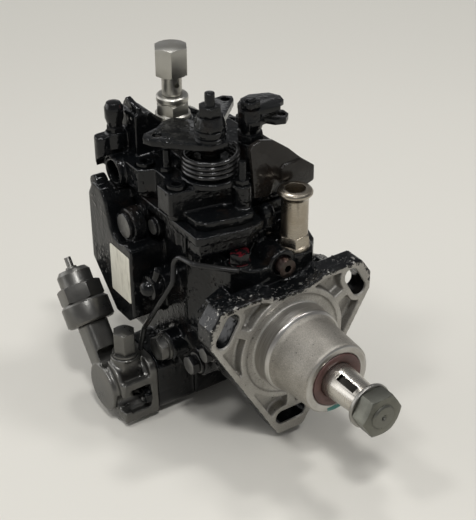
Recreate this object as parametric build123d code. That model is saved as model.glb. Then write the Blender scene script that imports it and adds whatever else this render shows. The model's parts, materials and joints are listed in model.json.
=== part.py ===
"""Rotary distributor injection pump for a small diesel engine.

Frame: the origin is on the drive axis at the front face of the mounting flange.
+Y runs from the drive end to the distributor head, +X to the right seen from
the drive end, +Z up. All sizes are in millimetres.
"""
import os
from math import acos, cos, pi, radians, sin, tan

from build123d import *

# ---------------------------------------------------------------- clearances
RUN = 0.05                # radial running fit of a shaft or piston in its bore
SEAT = 0.02               # radial gap of a part that is screwed or pressed in place
AIR = 0.3                 # gap between faces of parts that move past each other

# ---------------------------------------------------------------- drive end
PILOT_R = 25.0            # register that centres the pump in the gear case
PILOT_LENGTH = 10.0
LIP_LENGTH = 2.4
NOSE_ROOT_R = 22.3
NOSE_TIP_R = 20.3
NOSE_LENGTH = 39.0
SEAL_R = 15.5
SEAL_LENGTH = 6.0
BUSH_R = 12.5
BUSH_START = SEAL_LENGTH + 2.0 - NOSE_LENGTH
BUSH_END = 13.0
SHAFT_R = 10.0
TAPER_START = -NOSE_LENGTH - 3.0
TAPER_END = TAPER_START - 21.5
TAPER_SMALL_R = 8.4
THREAD_R = 7.0
SHAFT_TIP = TAPER_END - 13.25
CENTRE_DRILL_R = 1.8
KEYWAY_WIDTH = 4.0
KEYWAY_DEPTH = 2.4
KEYWAY_START = TAPER_START - 3.5
KEYWAY_LENGTH = 13.0
KEYWAY_ANGLE = 120.0
WASHER_R = 12.6
WASHER_THICK = 2.2
NUT_FLATS = 22.0
NUT_THICK = 9.8
NUT_TURN = 2.0

# ---------------------------------------------------------------- flange
FLANGE_THICK = 13.0
FLANGE_TOP = 37.5
FLANGE_HALF_WIDTH = 53.0
FLANGE_SHOULDER_Z = 17.0
FLANGE_FOOT_HALF_WIDTH = 13.5
FLANGE_FOOT_Z = -52.0
FLANGE_TOE_HALF_WIDTH = 8.5
FLANGE_BOTTOM = -60.0
FLANGE_CORNER_R = 8.0
FLANGE_DIP_X = 20.0
FLANGE_DIP_Z = 33.6
SLOT_CIRCLE_R = 48.6
SLOT_WIDTH = 8.9
SLOT_LENGTH = 20.5
SLOT_ANGLES = (150.0, 30.0, -90.0)
SLOT_BOSS_WALL = 3.4
COLLAR_R = 30.5
COLLAR_GROOVE_DEPTH = 1.2
POCKET_DEPTH = 6.0
POCKET_RIM = 3.6
POCKET_RIB = 5.5

# ---------------------------------------------------------------- housing
HUB_R = 38.0
HOUSING_REAR = 116.0
WALL_X = 38.0
SHELF_Z = 45.0
UPPER_FRONT = 31.0
LEDGE_TOP = 67.0
LEDGE_THICK = 5.0
LEDGE_X = 43.0
LEDGE_FRONT_LEFT = 26.0
LEDGE_SKEW = 5.0
CUT_BACK_Y = 38.5
CUT_BACK_Z = 58.0
CUT_BACK_WALL = 3.0
BORE_R = 30.0
BORE_START = 16.0
CHAMBER_X = 33.0
CHAMBER_FRONT_LEFT = -27.0
CHAMBER_FRONT_RIGHT = 24.0
CHAMBER_START = 35.0
CHAMBER_WIDE_START = 46.0
CHAMBER_END = 112.0
HOUSING_BOTTOM_WALL = 4.0

# ---------------------------------------------------------------- vane pump
VANE_RING_INNER_R = 23.0
VANE_ECCENTRIC = 2.0
VANE_RING_END = 30.0
VANE_COVER_THICK = 2.6
ROTOR_R = 19.7
VANE_COUNT = 4
VANE_THICK = 2.0
VANE_TIP_R = 20.6
VANE_ROOT_R = 13.0

# ---------------------------------------------------------------- governor drive
GEAR_MODULE = 1.4
DRIVE_TEETH = 35
GOVERNOR_TEETH = 21
GEAR_BACKLASH = 0.16
PRESSURE_ANGLE = radians(20)
GEAR_START = 36.5
GEAR_WIDTH = 5.5
GOVERNOR_SHAFT_R = 4.0
GOVERNOR_SHAFT_START = 28.0
GOVERNOR_SHAFT_END = 88.0
CAGE_OUTER_R = 20.0
CAGE_INNER_R = 17.3
CAGE_END = 60.0
CAGE_FLOOR = 2.5
WEIGHT_COUNT = 4
WEIGHT_WIDTH = 10.0
WEIGHT_INNER_R = 10.5
WEIGHT_OUTER_R = 17.0
WEIGHT_PIVOT_Y = 47.0
WEIGHT_START = 45.3
WEIGHT_END = 58.0
TOE_TIP_R = 7.6
TOE_THICK = 2.6
SLEEVE_R = 6.5
SLEEVE_FLANGE_R = 9.5
SLEEVE_FLANGE_THICK = 2.2
SLEEVE_END = 93.0
SLEEVE_BUTTON_R = 3.2
GOVERNOR_TRAVEL = 1.6

# ---------------------------------------------------------------- cam drive and plunger
YOKE_R = 14.0
YOKE_START = 44.0
YOKE_END = 60.0
CROSS_THICK = 5.0
CROSS_HOLE_R = 6.0
CLAW_WIDTH = 7.0
CLAW_HEIGHT = 4.0
ROLLER_RING_R = 29.0
ROLLER_RING_INNER_R = 17.0
ROLLER_RING_START = 68.5
ROLLER_R = 5.0
ROLLER_COUNT = 4
ROLLER_FIRST_ANGLE = 45.0
ROLLER_INNER_R = 18.5
ROLLER_OUTER_R = 28.0
ROLLER_Y = 80.0
TIMING_PIN_R = 3.5
CAM_DISC_R = 27.0
CAM_DISC_THICK = 6.0
CAM_LIFT = 2.4
CAM_NOSE_R = 9.0
PLUNGER_R = 5.0
PLUNGER_FOOT_R = 11.0
PLUNGER_FOOT_THICK = 3.0
PLUNGER_GAP = 0.5
COLLAR_RING_R = 9.0
COLLAR_RING_THICK = 9.0
COLLAR_RING_Y = 104.0
COLLAR_HOLE_R = 2.6
PLUNGER_SPRING_X = 18.5
PLUNGER_SPRING_R = 5.0
PLUNGER_SPRING_WIRE_R = 1.1
PLUNGER_SPRING_TURNS = 4.0

# ---------------------------------------------------------------- governor lever
LEVER_PIVOT_Y = 101.0
LEVER_PIVOT_Z = 24.0
LEVER_PIN_R = 2.5
LEVER_THICK = 4.0
LEVER_WIDTH = 14.0
LEVER_TOP_Z = 60.0
LEVER_FACE_Y = 93.6
LEVER_BALL_R = 2.3
LEVER_BALL_Z = 6.8

# ---------------------------------------------------------------- distributor head
HEAD_FLANGE_THICK = 12.0
HEAD_HALF_WIDTH = 36.0
HEAD_CORNER_R = 12.0
HEAD_BARREL_R = 29.5
HEAD_END = 148.0
HEAD_SPIGOT_LENGTH = 3.0
HEAD_BOLT_X = 28.5
HEAD_BOLT_R = 3.0
HEAD_BOLT_HEAD_R = 5.2
OUTLET_COUNT = 4
OUTLET_CIRCLE_R = 19.5
OUTLET_FIRST_ANGLE = 45.0
OUTLET_SEAT_DEPTH = 5.0
OUTLET_FLATS = 14.0
OUTLET_HEX_LENGTH = 9.0
OUTLET_THREAD_R = 6.0
OUTLET_LENGTH = 24.0
OUTLET_BORE_R = 1.5
CENTRE_PLUG_FLATS = 14.0
CENTRE_PLUG_LENGTH = 8.0
CENTRE_PLUG_DEPTH = 5.5
CENTRE_PLUG_R = 5.0
SHUTOFF_X = 0.0
SHUTOFF_Y = 129.0
SHUTOFF_R = 11.0
SHUTOFF_FLATS = 24.0
SHUTOFF_HEX_HEIGHT = 8.0
SHUTOFF_TOP = 64.0

# ---------------------------------------------------------------- governor cover
BAND_TOP = 71.0
SLAB_TOP = 85.0
SLAB_LEFT = -46.0
SLAB_FRONT_LEFT = 48.0
SLAB_FRONT_RIGHT = 37.5
SLAB_RIGHT = 35.0
SLAB_REAR = 112.0
CAVITY_TOP = 79.0
DOME_TOP = 93.0
DOME_R = 16.0
REAR_BLOCK_TOP = 109.4
REAR_BLOCK_FRONT = 94.5
REAR_BLOCK_LEFT = -38.0
REAR_BLOCK_RIGHT = -21.0
COVER_BOLT_R = 2.75
COVER_BOLT_HEAD_R = 5.0
COVER_BOLT_HEAD_HEIGHT = 5.5
COVER_BOLT_LENGTH = 23.0
COVER_BOLT_SINK = 3.5
COLUMN_R = 6.0
EAR_R = 8.5
COVER_BOLTS = ((-38.8, 53.0), (-38.8, 84.5), (28.0, 48.0), (28.0, 101.0))
REAR_BOSS_Y = 101.5
REAR_BOSS_Z = 76.4
REAR_BOSS_R = 8.8
REAR_BOSS_BORE_R = 6.3
REAR_BOSS_FACE_X = -50.0
CAP_SCREW_X = -44.2
CAP_SCREW_Y = 106.5
CAP_SCREW_R = 5.2
CORNER_BLOCK_LEFT = -56.0
CORNER_BLOCK_TOP = 96.5
BRACKET_Y = 34.2
BRACKET_FOLD = 2.2

# ---------------------------------------------------------------- control levers
THROTTLE_X = -17.0
THROTTLE_Y = 53.0
THROTTLE_SHAFT_R = 5.0
THROTTLE_SHAFT_BOTTOM = 63.0
THROTTLE_TOWER_R = 10.0
SPRING_SEAT_Z = 88.0
SPRING_POCKET_R = 16.6
THROTTLE_LEVER_Z = 104.5
LEVER_PLATE_THICK = 3.0
THROTTLE_HUB_R = 8.5
THROTTLE_HUB_TOP = 120.5
THROTTLE_NUT_FLATS = 11.0
THROTTLE_NUT_THICK = 5.5
THROTTLE_STUD_TOP = 133.0
THROTTLE_STUD_R = 2.7
RETURN_SPRING_R = 14.6
RETURN_SPRING_WIRE_R = 1.2
RETURN_SPRING_TURNS = 4.0
STOP_X = 5.5
STOP_Y = 49.0
STOP_SHAFT_R = 4.0
STOP_TOWER_R = 6.5
STOP_TOWER_TOP = 102.0
STOP_LEVER_Z = 111.5
STOP_STACK_HEIGHT = 9.0
STOP_COLLAR_FLATS = 13.0
STOP_STUD_R = 3.0
STOP_NUT_FLATS = 10.0
STOP_NUT_THICK = 4.0
STOP_SHAFT_TOP = 125.5
STOP_SCREWS = ((-8.3, 36.5), (-33.0, 71.0))

# ---------------------------------------------------------------- fittings on top
OVERFLOW_X = -12.0
OVERFLOW_Y = 98.5
OVERFLOW_BASE_Z = 101.0
OVERFLOW_HEX_FLATS = 17.0
OVERFLOW_STEM_R = 5.6
OVERFLOW_SEAT_R = 9.8
OVERFLOW_BOLT_FLATS = 17.0
OVERFLOW_TOP_Z = 142.0
INLET_X = 15.8
INLET_Y = 22.0
INLET_BASE_Z = 46.0
INLET_TUBE_R = 7.4
INLET_BORE_R = 5.6
INLET_BEAD_R = 9.6
INLET_TOP_Z = 81.5
INLET_HEX_FLATS = 15.0
INLET_HEX_HEIGHT = 8.0
INLET_BOSS_R = 10.0
VALVE_X = 1.6
VALVE_Z = 43.2
VALVE_BODY_R = 8.8
VALVE_END_R = 5.2
VALVE_FRONT = 8.0
VALVE_SHOULDER = 12.5
VALVE_REAR = 24.0
SHELF_BOLT_X = -19.0
SHELF_BOLT_Y = 23.5
SHELF_BOLT_FLATS = 10.0
ACORN_X = 5.0
ACORN_Y = 33.0
ACORN_FLATS = 9.5

# ---------------------------------------------------------------- timing device
TIMING_Y = 75.0
TIMING_Z = -43.0
TIMING_HALF = 19.0
TIMING_CORNER_R = 9.0
TIMING_LEFT = -53.0
TIMING_RIGHT = 48.0
PISTON_R = 13.5
PISTON_HALF_LENGTH = 24.0
PISTON_TRAVEL = 6.0
TIMING_COVER_END = -76.0
TIMING_CAP_END = -79.5
TIMING_CAP_R = 14.0
TIMING_DRUM_R = 18.6
TIMING_FLANGE_THICK = 5.0
RIGHT_COVER_THICK = 7.0
TIMING_BOLT_SPREAD = 16.0
TIMING_BOLT_R = 2.5
TIMING_BOLT_FLATS = 8.0
TIMING_SPRING_R = 9.0
TIMING_SPRING_WIRE_R = 1.3
TIMING_SPRING_TURNS = 4.0
SOLENOID_X = -71.0
SOLENOID_TILT = 40.0
SOLENOID_ARM_END = 37.0
SOLENOID_COLLAR_R = 14.2
SOLENOID_COLLAR_END = 50.5
SOLENOID_FLATS = 23.0
SOLENOID_HEX_END = 60.5
SOLENOID_CAP_R = 10.0
SOLENOID_CAP_END = 70.0
SOLENOID_STUD_R = 2.0
SOLENOID_STUD_END = 77.5

# ---------------------------------------------------------------- left side
PAD_FACE_X = -60.0
PAD_FRONT = 68.0
PAD_REAR = 113.0
PAD_BOTTOM = -4.0
PAD_FRONT_TOP = 44.5
PAD_REAR_TOP = 70.0
PLATE_FRONT = 69.5
PLATE_REAR = 90.5
PLATE_BOTTOM = 10.0
PLATE_TOP = 40.0
PLATE_THICK = 0.6
RING_BOSS_Y = 81.0
RING_BOSS_Z = 53.5
RING_BOSS_R = 9.6
RING_BOSS_FACE_X = -54.0
SIDE_BOSSES = ((82.0, 58.0), (69.8, 54.6))
SIDE_BOSS_R = 5.6
SIDE_BOSS_FACE_X = -43.5
BANJO_Y = 59.8
BANJO_Z = 24.0
BANJO_BOSS_R = 8.0
BANJO_BOSS_FACE_X = -48.0
LOWER_PLUG_Y = 30.0
LOWER_PLUG_Z = -13.0
UPPER_PLUG_Y = 19.5
UPPER_PLUG_Z = -1.0
BIG_PLUG_Y = 58.0
BIG_PLUG_Z = -17.0
PIPE_R = 1.5
PIPE_POINTS = (
    (-24.0, 16.5, 46.8),
    (-31.5, 23.0, 47.5),
    (-42.0, 33.5, 48.6),
    (-43.7, 49.5, 47.0),
    (-47.0, 45.9, 32.2),
    (-52.0, 52.4, 17.3),
    (-53.0, 69.5, -8.5),
    (-55.2, 71.5, -23.6),
)
PIPE_BENDS = (6.0, 6.0, 6.0, 6.0, 8.0, 8.0)

governor_z = GEAR_MODULE * (DRIVE_TEETH + GOVERNOR_TEETH) / 2


# ---------------------------------------------------------------- shape helpers
def rod_x(radius, x0, x1, y, z):
    return Pos((x0 + x1) / 2, y, z) * Rot(0, 90, 0) * Cylinder(radius, abs(x1 - x0))


def rod_y(radius, y0, y1, x=0.0, z=0.0):
    return Pos(x, (y0 + y1) / 2, z) * Rot(90, 0, 0) * Cylinder(radius, abs(y1 - y0))


def rod_z(radius, z0, z1, x, y):
    return Pos(x, y, (z0 + z1) / 2) * Cylinder(radius, abs(z1 - z0))


def block(x0, x1, y0, y1, z0, z1):
    return Pos((x0 + x1) / 2, (y0 + y1) / 2, (z0 + z1) / 2) * Box(x1 - x0, y1 - y0, z1 - z0)


def turned(points):
    """A body of revolution about Z from (radius, height) points."""
    outline = Plane.XZ * Polyline(*points, close=True)
    return revolve(make_face(outline), Axis.Z)


def hexagon(flats, height, base=0.0):
    """A hexagonal prism with chamfered corners, standing on the plane z = base."""
    prism = extrude(RegularPolygon(flats / 2, 6, major_radius=False), height)
    corner = flats / 2 / cos(pi / 6)
    edge = corner - flats / 2
    cone = turned([
        (0, 0), (flats / 2, 0), (corner + 0.01, edge / 2),
        (corner + 0.01, height - edge / 2), (flats / 2, height), (0, height),
    ])
    return Pos(0, 0, base) * (prism & cone)


def aim(shape, at, towards, turn=0.0):
    """Move a shape built along +Z so that it starts at a point and runs towards a direction."""
    plane = Plane(origin=at, z_dir=towards)
    return plane.location * Rot(0, 0, turn) * shape


def side_view(points, x0, x1, rounding=0.0):
    """A prism along X from an outline of (y, z) points."""
    outline = make_face(Polyline(*points, close=True))
    if rounding:
        outline = fillet(outline.vertices(), rounding)
    plane = Plane(origin=(x0, 0, 0), x_dir=(0, 1, 0), z_dir=(1, 0, 0))
    return extrude(plane * outline, x1 - x0)


def top_view(points, z0, z1, rounding=0.0):
    """A prism along Z from an outline of (x, y) points."""
    outline = make_face(Polyline(*points, close=True))
    if rounding:
        outline = fillet(outline.vertices(), rounding)
    return extrude(Pos(0, 0, z0) * outline, z1 - z0)


def end_view(sketch, y0, y1):
    """A prism along Y from a sketch whose x and y are the part's X and Z."""
    plane = Plane(origin=(0, y0, 0), x_dir=(1, 0, 0), z_dir=(0, -1, 0))
    return extrude(plane * sketch, -(y1 - y0))


def coil(radius, wire_radius, length, turns):
    """A compression spring along +Z whose first wire rests on z = 0."""
    rise = length - 2 * wire_radius
    path = Helix(pitch=rise / turns, height=rise, radius=radius)
    section = Plane(origin=path @ 0, z_dir=path % 0) * Circle(wire_radius)
    return Pos(0, 0, wire_radius) * sweep(section, path=path)


def around(count, first_angle=0.0):
    return [first_angle + 360.0 * index / count for index in range(count)]


def group(solids):
    return Compound(children=[piece for solid in solids for piece in solid.solids()])


# ---------------------------------------------------------------- drive end pieces
def flange_outline():
    """Three lobes; the top edge dips between the two upper ones."""
    points = [
        (FLANGE_HALF_WIDTH - 7, FLANGE_TOP), (FLANGE_HALF_WIDTH, FLANGE_TOP - 10),
        (FLANGE_HALF_WIDTH, FLANGE_SHOULDER_Z),
        (FLANGE_FOOT_HALF_WIDTH, FLANGE_FOOT_Z), (FLANGE_TOE_HALF_WIDTH, FLANGE_BOTTOM),
        (-FLANGE_TOE_HALF_WIDTH, FLANGE_BOTTOM), (-FLANGE_FOOT_HALF_WIDTH, FLANGE_FOOT_Z),
        (-FLANGE_HALF_WIDTH, FLANGE_SHOULDER_Z), (-FLANGE_HALF_WIDTH, FLANGE_TOP - 10),
        (-FLANGE_HALF_WIDTH + 7, FLANGE_TOP), (-FLANGE_DIP_X, FLANGE_TOP),
        (-FLANGE_DIP_X / 2, FLANGE_DIP_Z), (FLANGE_DIP_X / 2, FLANGE_DIP_Z), (FLANGE_DIP_X, FLANGE_TOP),
    ]
    face = make_face(Polyline(*points, close=True))
    low = [v for v in face.vertices() if v.Y < FLANGE_SHOULDER_Z + 1]
    face = fillet(low, FLANGE_CORNER_R / 2)
    high = [v for v in face.vertices() if v.Y > FLANGE_TOP - 11 and v.Z == 0]
    return fillet(high, 3.0)


def slot_sketch(width, length):
    slots = Sketch()
    for angle in SLOT_ANGLES:
        centre = (SLOT_CIRCLE_R * cos(radians(angle)), SLOT_CIRCLE_R * sin(radians(angle)))
        slots += Pos(*centre) * Rot(0, 0, angle + 90) * SlotOverall(length, width)
    return slots


def flange_pockets():
    inner = offset(flange_outline(), -POCKET_RIM)
    inner -= Circle(COLLAR_R + POCKET_RIM)
    inner -= slot_sketch(SLOT_WIDTH + 2 * SLOT_BOSS_WALL, SLOT_LENGTH + 2 * SLOT_BOSS_WALL)
    for angle in SLOT_ANGLES:
        inner -= Rot(0, 0, angle) * Pos(SLOT_CIRCLE_R, 0) * Rectangle(2 * SLOT_CIRCLE_R, POCKET_RIB)
    return inner


def flange():
    plate = end_view(flange_outline(), 0, FLANGE_THICK)
    plate -= end_view(slot_sketch(SLOT_WIDTH, SLOT_LENGTH), -1, FLANGE_THICK + 1)
    plate -= end_view(flange_pockets(), -1, POCKET_DEPTH)
    groove = Circle(COLLAR_R) - Circle(PILOT_R)
    return plate - end_view(groove, -1, COLLAR_GROOVE_DEPTH)


def nose():
    lip_end = PILOT_LENGTH + LIP_LENGTH
    profile = [
        (0, -COLLAR_GROOVE_DEPTH), (PILOT_R, -COLLAR_GROOVE_DEPTH),
        (PILOT_R, PILOT_LENGTH - 0.8), (PILOT_R - 0.8, PILOT_LENGTH),
        (NOSE_ROOT_R + 1.2, PILOT_LENGTH + 0.4), (NOSE_ROOT_R, lip_end),
        (NOSE_TIP_R + 0.3, NOSE_LENGTH - 1.4), (NOSE_TIP_R - 1.1, NOSE_LENGTH), (0, NOSE_LENGTH),
    ]
    return aim(turned(profile), (0, 0, 0), (0, -1, 0))


# ---------------------------------------------------------------- pump housing
def lower_body():
    """Front hub that swells from the flange into the square pump body."""
    plan = [
        (-WALL_X, HOUSING_REAR), (-WALL_X, 46), (-31, 33), (-27, 20), (-12, FLANGE_THICK),
        (22, FLANGE_THICK), (31, 24), (WALL_X, 44), (WALL_X, HOUSING_REAR),
    ]
    shell = top_view(plan, 0, SHELF_Z)
    shell += rod_y(HUB_R, FLANGE_THICK - 0.5, HOUSING_REAR)
    neck = [(-24, 24), (-40, 10), (-40, 30), (-30, FLANGE_TOP - 3)]
    for side in (-1, 1):
        web = [(side * x, z) for x, z in neck]
        shell += end_view(make_face(Polyline(*web, close=True)), FLANGE_THICK - 0.5, 26)
    floor = end_view(fillet(Rectangle(2 * WALL_X, 60).vertices(), 10), 50, HOUSING_REAR)
    return shell + Pos(0, 0, -6) * floor


def upper_body():
    """Governor chamber walls and the joint ledge; the front right corner is cut back."""
    front = UPPER_FRONT
    plan = [
        (-WALL_X, HOUSING_REAR), (-WALL_X, front + 1), (-14, front - 2), (-3, front), (-1, CUT_BACK_Y),
        (WALL_X - 5, CUT_BACK_Y), (WALL_X, CUT_BACK_Y + 5), (WALL_X, HOUSING_REAR),
    ]
    walls = top_view(plan, SHELF_Z - 1, LEDGE_TOP)
    ledge_plan = [
        (-LEDGE_X, HOUSING_REAR - 1), (-LEDGE_X, LEDGE_FRONT_LEFT + 2),
        (-LEDGE_X + 3, LEDGE_FRONT_LEFT), (-14, LEDGE_FRONT_LEFT - LEDGE_SKEW),
        (-3, LEDGE_FRONT_LEFT - LEDGE_SKEW + 3), (-1, CUT_BACK_Y), (WALL_X - 6, CUT_BACK_Y),
        (WALL_X + 1, CUT_BACK_Y + 7), (WALL_X + 1, HOUSING_REAR - 1),
    ]
    ledge = top_view(ledge_plan, LEDGE_TOP - LEDGE_THICK, LEDGE_TOP)
    lip = 3.0
    front_wall_plan = [
        (-LEDGE_X + 2, 40), (-LEDGE_X + 3, LEDGE_FRONT_LEFT + lip),
        (-14, LEDGE_FRONT_LEFT - LEDGE_SKEW + lip),
        (-4, LEDGE_FRONT_LEFT - LEDGE_SKEW + 2 * lip), (-2, 40),
    ]
    corner_plan = [(-4, 29), (1, 29), (4, 32.3), (26, 32.3), (WALL_X - 2, 44), (WALL_X - 2, 50), (-4, 50)]
    corner = top_view(corner_plan, SHELF_Z - 1, CUT_BACK_Z)
    return walls + ledge + corner + top_view(front_wall_plan, SHELF_Z + 9, LEDGE_TOP)


def timing_section(half, corner):
    return RectangleRounded(2 * half, 2 * half, corner)


def timing_body():
    plane = Plane(origin=(TIMING_LEFT, TIMING_Y, TIMING_Z), x_dir=(0, 1, 0), z_dir=(1, 0, 0))
    barrel = extrude(plane * timing_section(TIMING_HALF, TIMING_CORNER_R), TIMING_RIGHT - TIMING_LEFT)
    step = block(-30, 30, TIMING_Y - TIMING_HALF - 3, TIMING_Y, TIMING_Z - 12, -20)
    return barrel + step


def plate_pad():
    """Raised side of the casting that carries the type plate."""
    outline = [
        (PAD_FRONT, PAD_BOTTOM + 5), (PAD_FRONT, PAD_FRONT_TOP), (90, 50), (94, 64),
        (99, PAD_REAR_TOP), (108, PAD_REAR_TOP), (PAD_REAR, 62), (PAD_REAR, 20),
        (88, PAD_BOTTOM), (74, PAD_BOTTOM),
    ]
    pad = side_view(outline, PAD_FACE_X, -WALL_X + 4, 1.8)
    pad += rod_x(4.5, PAD_FACE_X + 1, -50, 107.5, PAD_REAR_TOP - 0.6)
    relief = block(-51.5, 0, PAD_FRONT - 1, PAD_REAR + 1, LEDGE_TOP, PAD_REAR_TOP + 9)
    return pad - relief


def side_bosses():
    bosses = rod_x(RING_BOSS_R, RING_BOSS_FACE_X, -46.5, RING_BOSS_Y, RING_BOSS_Z)
    bosses += block(-52, -46.5, RING_BOSS_Y - 7, RING_BOSS_Y + 7, 40, RING_BOSS_Z)
    for y, z in SIDE_BOSSES:
        bosses += rod_x(SIDE_BOSS_R, SIDE_BOSS_FACE_X, -WALL_X + 2, y, z)
    bosses += rod_x(BANJO_BOSS_R, BANJO_BOSS_FACE_X, -WALL_X + 2, BANJO_Y, BANJO_Z)
    bosses += rod_x(8.0, -42.0, -20, LOWER_PLUG_Y, LOWER_PLUG_Z)
    bosses += rod_x(6.0, -40.0, -20, UPPER_PLUG_Y, UPPER_PLUG_Z)
    bosses += rod_x(9.0, -46.0, -20, BIG_PLUG_Y, BIG_PLUG_Z)
    return bosses


def side_ribs():
    """Upright ribs that stiffen the chamber walls."""
    ribs = Part()
    for y in (47.0, 98.0):
        ribs += block(WALL_X - 1, WALL_X + 3, y - 2, y + 2, -10, LEDGE_TOP - LEDGE_THICK + 1)
    return ribs + block(-WALL_X - 3, -WALL_X + 1, 42, 46, 46, LEDGE_TOP - LEDGE_THICK + 1)


def front_bosses():
    bosses = rod_z(INLET_BOSS_R, 30, INLET_BASE_Z, INLET_X, INLET_Y)
    bosses += rod_y(VALVE_BODY_R, VALVE_SHOULDER, VALVE_REAR + 6, VALVE_X, VALVE_Z)
    bosses += rod_z(6.5, SHELF_Z - 2, SHELF_Z + 1.5, SHELF_BOLT_X, SHELF_BOLT_Y)
    return bosses


def chamber():
    """Everything that is cast or bored out of the housing."""
    hollow = rod_y(BORE_R, BORE_START, HOUSING_REAR + 1)
    wall = CUT_BACK_WALL
    low_top = CUT_BACK_Z - wall + 0.6
    left, right = CHAMBER_FRONT_LEFT, CHAMBER_FRONT_RIGHT
    hollow += block(left, right, CHAMBER_START, CHAMBER_WIDE_START + 1, 0, low_top)
    hollow += block(-CHAMBER_X, CHAMBER_X, CHAMBER_WIDE_START, CHAMBER_END, 0, low_top)
    hollow += block(-CHAMBER_X, CHAMBER_X, CUT_BACK_Y + wall, CHAMBER_END, SHELF_Z + 1, LEDGE_TOP + 1)
    hollow += block(-CHAMBER_X, -1 - wall, CHAMBER_START, CHAMBER_END, SHELF_Z + 1, LEDGE_TOP + 1)
    hollow += rod_y(SEAL_R + SEAT, -NOSE_LENGTH - 1, -NOSE_LENGTH + SEAL_LENGTH + 0.5)
    hollow += rod_y(SHAFT_R + 1.5, -NOSE_LENGTH, BORE_START + 1)
    hollow += rod_y(BUSH_R + SEAT, BUSH_START, BUSH_END)
    hollow += rod_y(GOVERNOR_SHAFT_R + SEAT, GOVERNOR_SHAFT_START - 0.3, CHAMBER_START + 1, 0, governor_z)
    hollow += rod_x(PISTON_R + RUN, TIMING_LEFT - 1, TIMING_RIGHT + 1, TIMING_Y, TIMING_Z)
    hollow += block(-14, 14, TIMING_Y - 4.2, TIMING_Y + 4.2, TIMING_Z, 0)
    hollow += rod_z(INLET_BORE_R, 32, INLET_BASE_Z + 1, INLET_X, INLET_Y)
    hollow += rod_y(VALVE_END_R + SEAT, VALVE_SHOULDER - 1, VALVE_REAR + 0.3, VALVE_X, VALVE_Z)
    return hollow


def drilled_holes():
    holes = rod_x(4.0 + SEAT, RING_BOSS_FACE_X - 1, -47.0, RING_BOSS_Y, RING_BOSS_Z)
    holes += rod_x(RING_BOSS_R, PAD_FACE_X - 1, RING_BOSS_FACE_X, RING_BOSS_Y, RING_BOSS_Z)
    for y, z in SIDE_BOSSES:
        holes += rod_x(3.0 + SEAT, SIDE_BOSS_FACE_X - 1, -35.5, y, z)
    holes += rod_x(4.0 + SEAT, BANJO_BOSS_FACE_X - 1, -34.5, BANJO_Y, BANJO_Z)
    holes += rod_x(4.0 + SEAT, -43, -34, LOWER_PLUG_Y, LOWER_PLUG_Z)
    holes += rod_x(3.0 + SEAT, -41, -34, UPPER_PLUG_Y, UPPER_PLUG_Z)
    holes += rod_x(4.0 + SEAT, -47, -38, BIG_PLUG_Y, BIG_PLUG_Z)
    holes += rod_z(3.0 + SEAT, SHELF_Z - 8, SHELF_Z + 3, SHELF_BOLT_X, SHELF_BOLT_Y)
    holes += rod_z(2.0 + SEAT, CUT_BACK_Z - 2.2, CUT_BACK_Z + 1, ACORN_X, ACORN_Y)
    for x, y in COVER_BOLTS:
        holes += rod_z(COVER_BOLT_R + SEAT, SLAB_TOP - COVER_BOLT_LENGTH - 1, LEDGE_TOP + 1, x, y)
    for x in (-HEAD_BOLT_X, HEAD_BOLT_X):
        for z in (-HEAD_BOLT_X, HEAD_BOLT_X):
            holes += rod_y(HEAD_BOLT_R + SEAT, HOUSING_REAR - 14, HOUSING_REAR + 1, x, z)
    for x0, x1 in ((TIMING_LEFT - 1, TIMING_LEFT + 9), (TIMING_RIGHT - 9, TIMING_RIGHT + 1)):
        for y, z in timing_bolt_places():
            holes += rod_x(TIMING_BOLT_R + SEAT, x0, x1, y, z)
    return holes


def pump_housing():
    casting = flange() + lower_body() + upper_body() + timing_body() + plate_pad()
    casting += side_bosses() + side_ribs() + front_bosses()
    for x in (-HEAD_BOLT_X, HEAD_BOLT_X):
        for z in (-HEAD_BOLT_X, HEAD_BOLT_X):
            casting += rod_y(8.0, HOUSING_REAR - 20, HOUSING_REAR, x, z)
    for x, y in COVER_BOLTS:
        column = rod_z(7.0, LEDGE_TOP - 14, LEDGE_TOP, x, y)
        casting += column & block(-LEDGE_X, LEDGE_X, 0, HOUSING_REAR, 0, LEDGE_TOP)
    casting -= rod_z(10.2, INLET_BASE_Z, LEDGE_TOP + 5, INLET_X, INLET_Y)
    hollow = chamber()
    for x, y in COVER_BOLTS:
        hollow -= rod_z(COLUMN_R, LEDGE_TOP - 13, LEDGE_TOP + 2, x, y)
    casting += nose()
    return casting - hollow - drilled_holes()


def shaft_seal():
    """Lip seal: a steel-backed ring with a lip that leans on the shaft."""
    profile = [
        (SHAFT_R + RUN, 1.0), (SHAFT_R + RUN, 2.2), (SHAFT_R + 2.2, 3.4), (SEAL_R - 2.4, 3.6),
        (SEAL_R - 2.4, SEAL_LENGTH), (SEAL_R, SEAL_LENGTH), (SEAL_R, 0.6), (SEAL_R - 0.6, 0),
        (SHAFT_R + 2.6, 0),
    ]
    return aim(turned(profile), (0, -NOSE_LENGTH - 0.4, 0), (0, 1, 0))


def drive_bush():
    return rod_y(BUSH_R, BUSH_START, BUSH_END) - rod_y(SHAFT_R + RUN, BUSH_START - 1, BUSH_END + 1)


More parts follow.
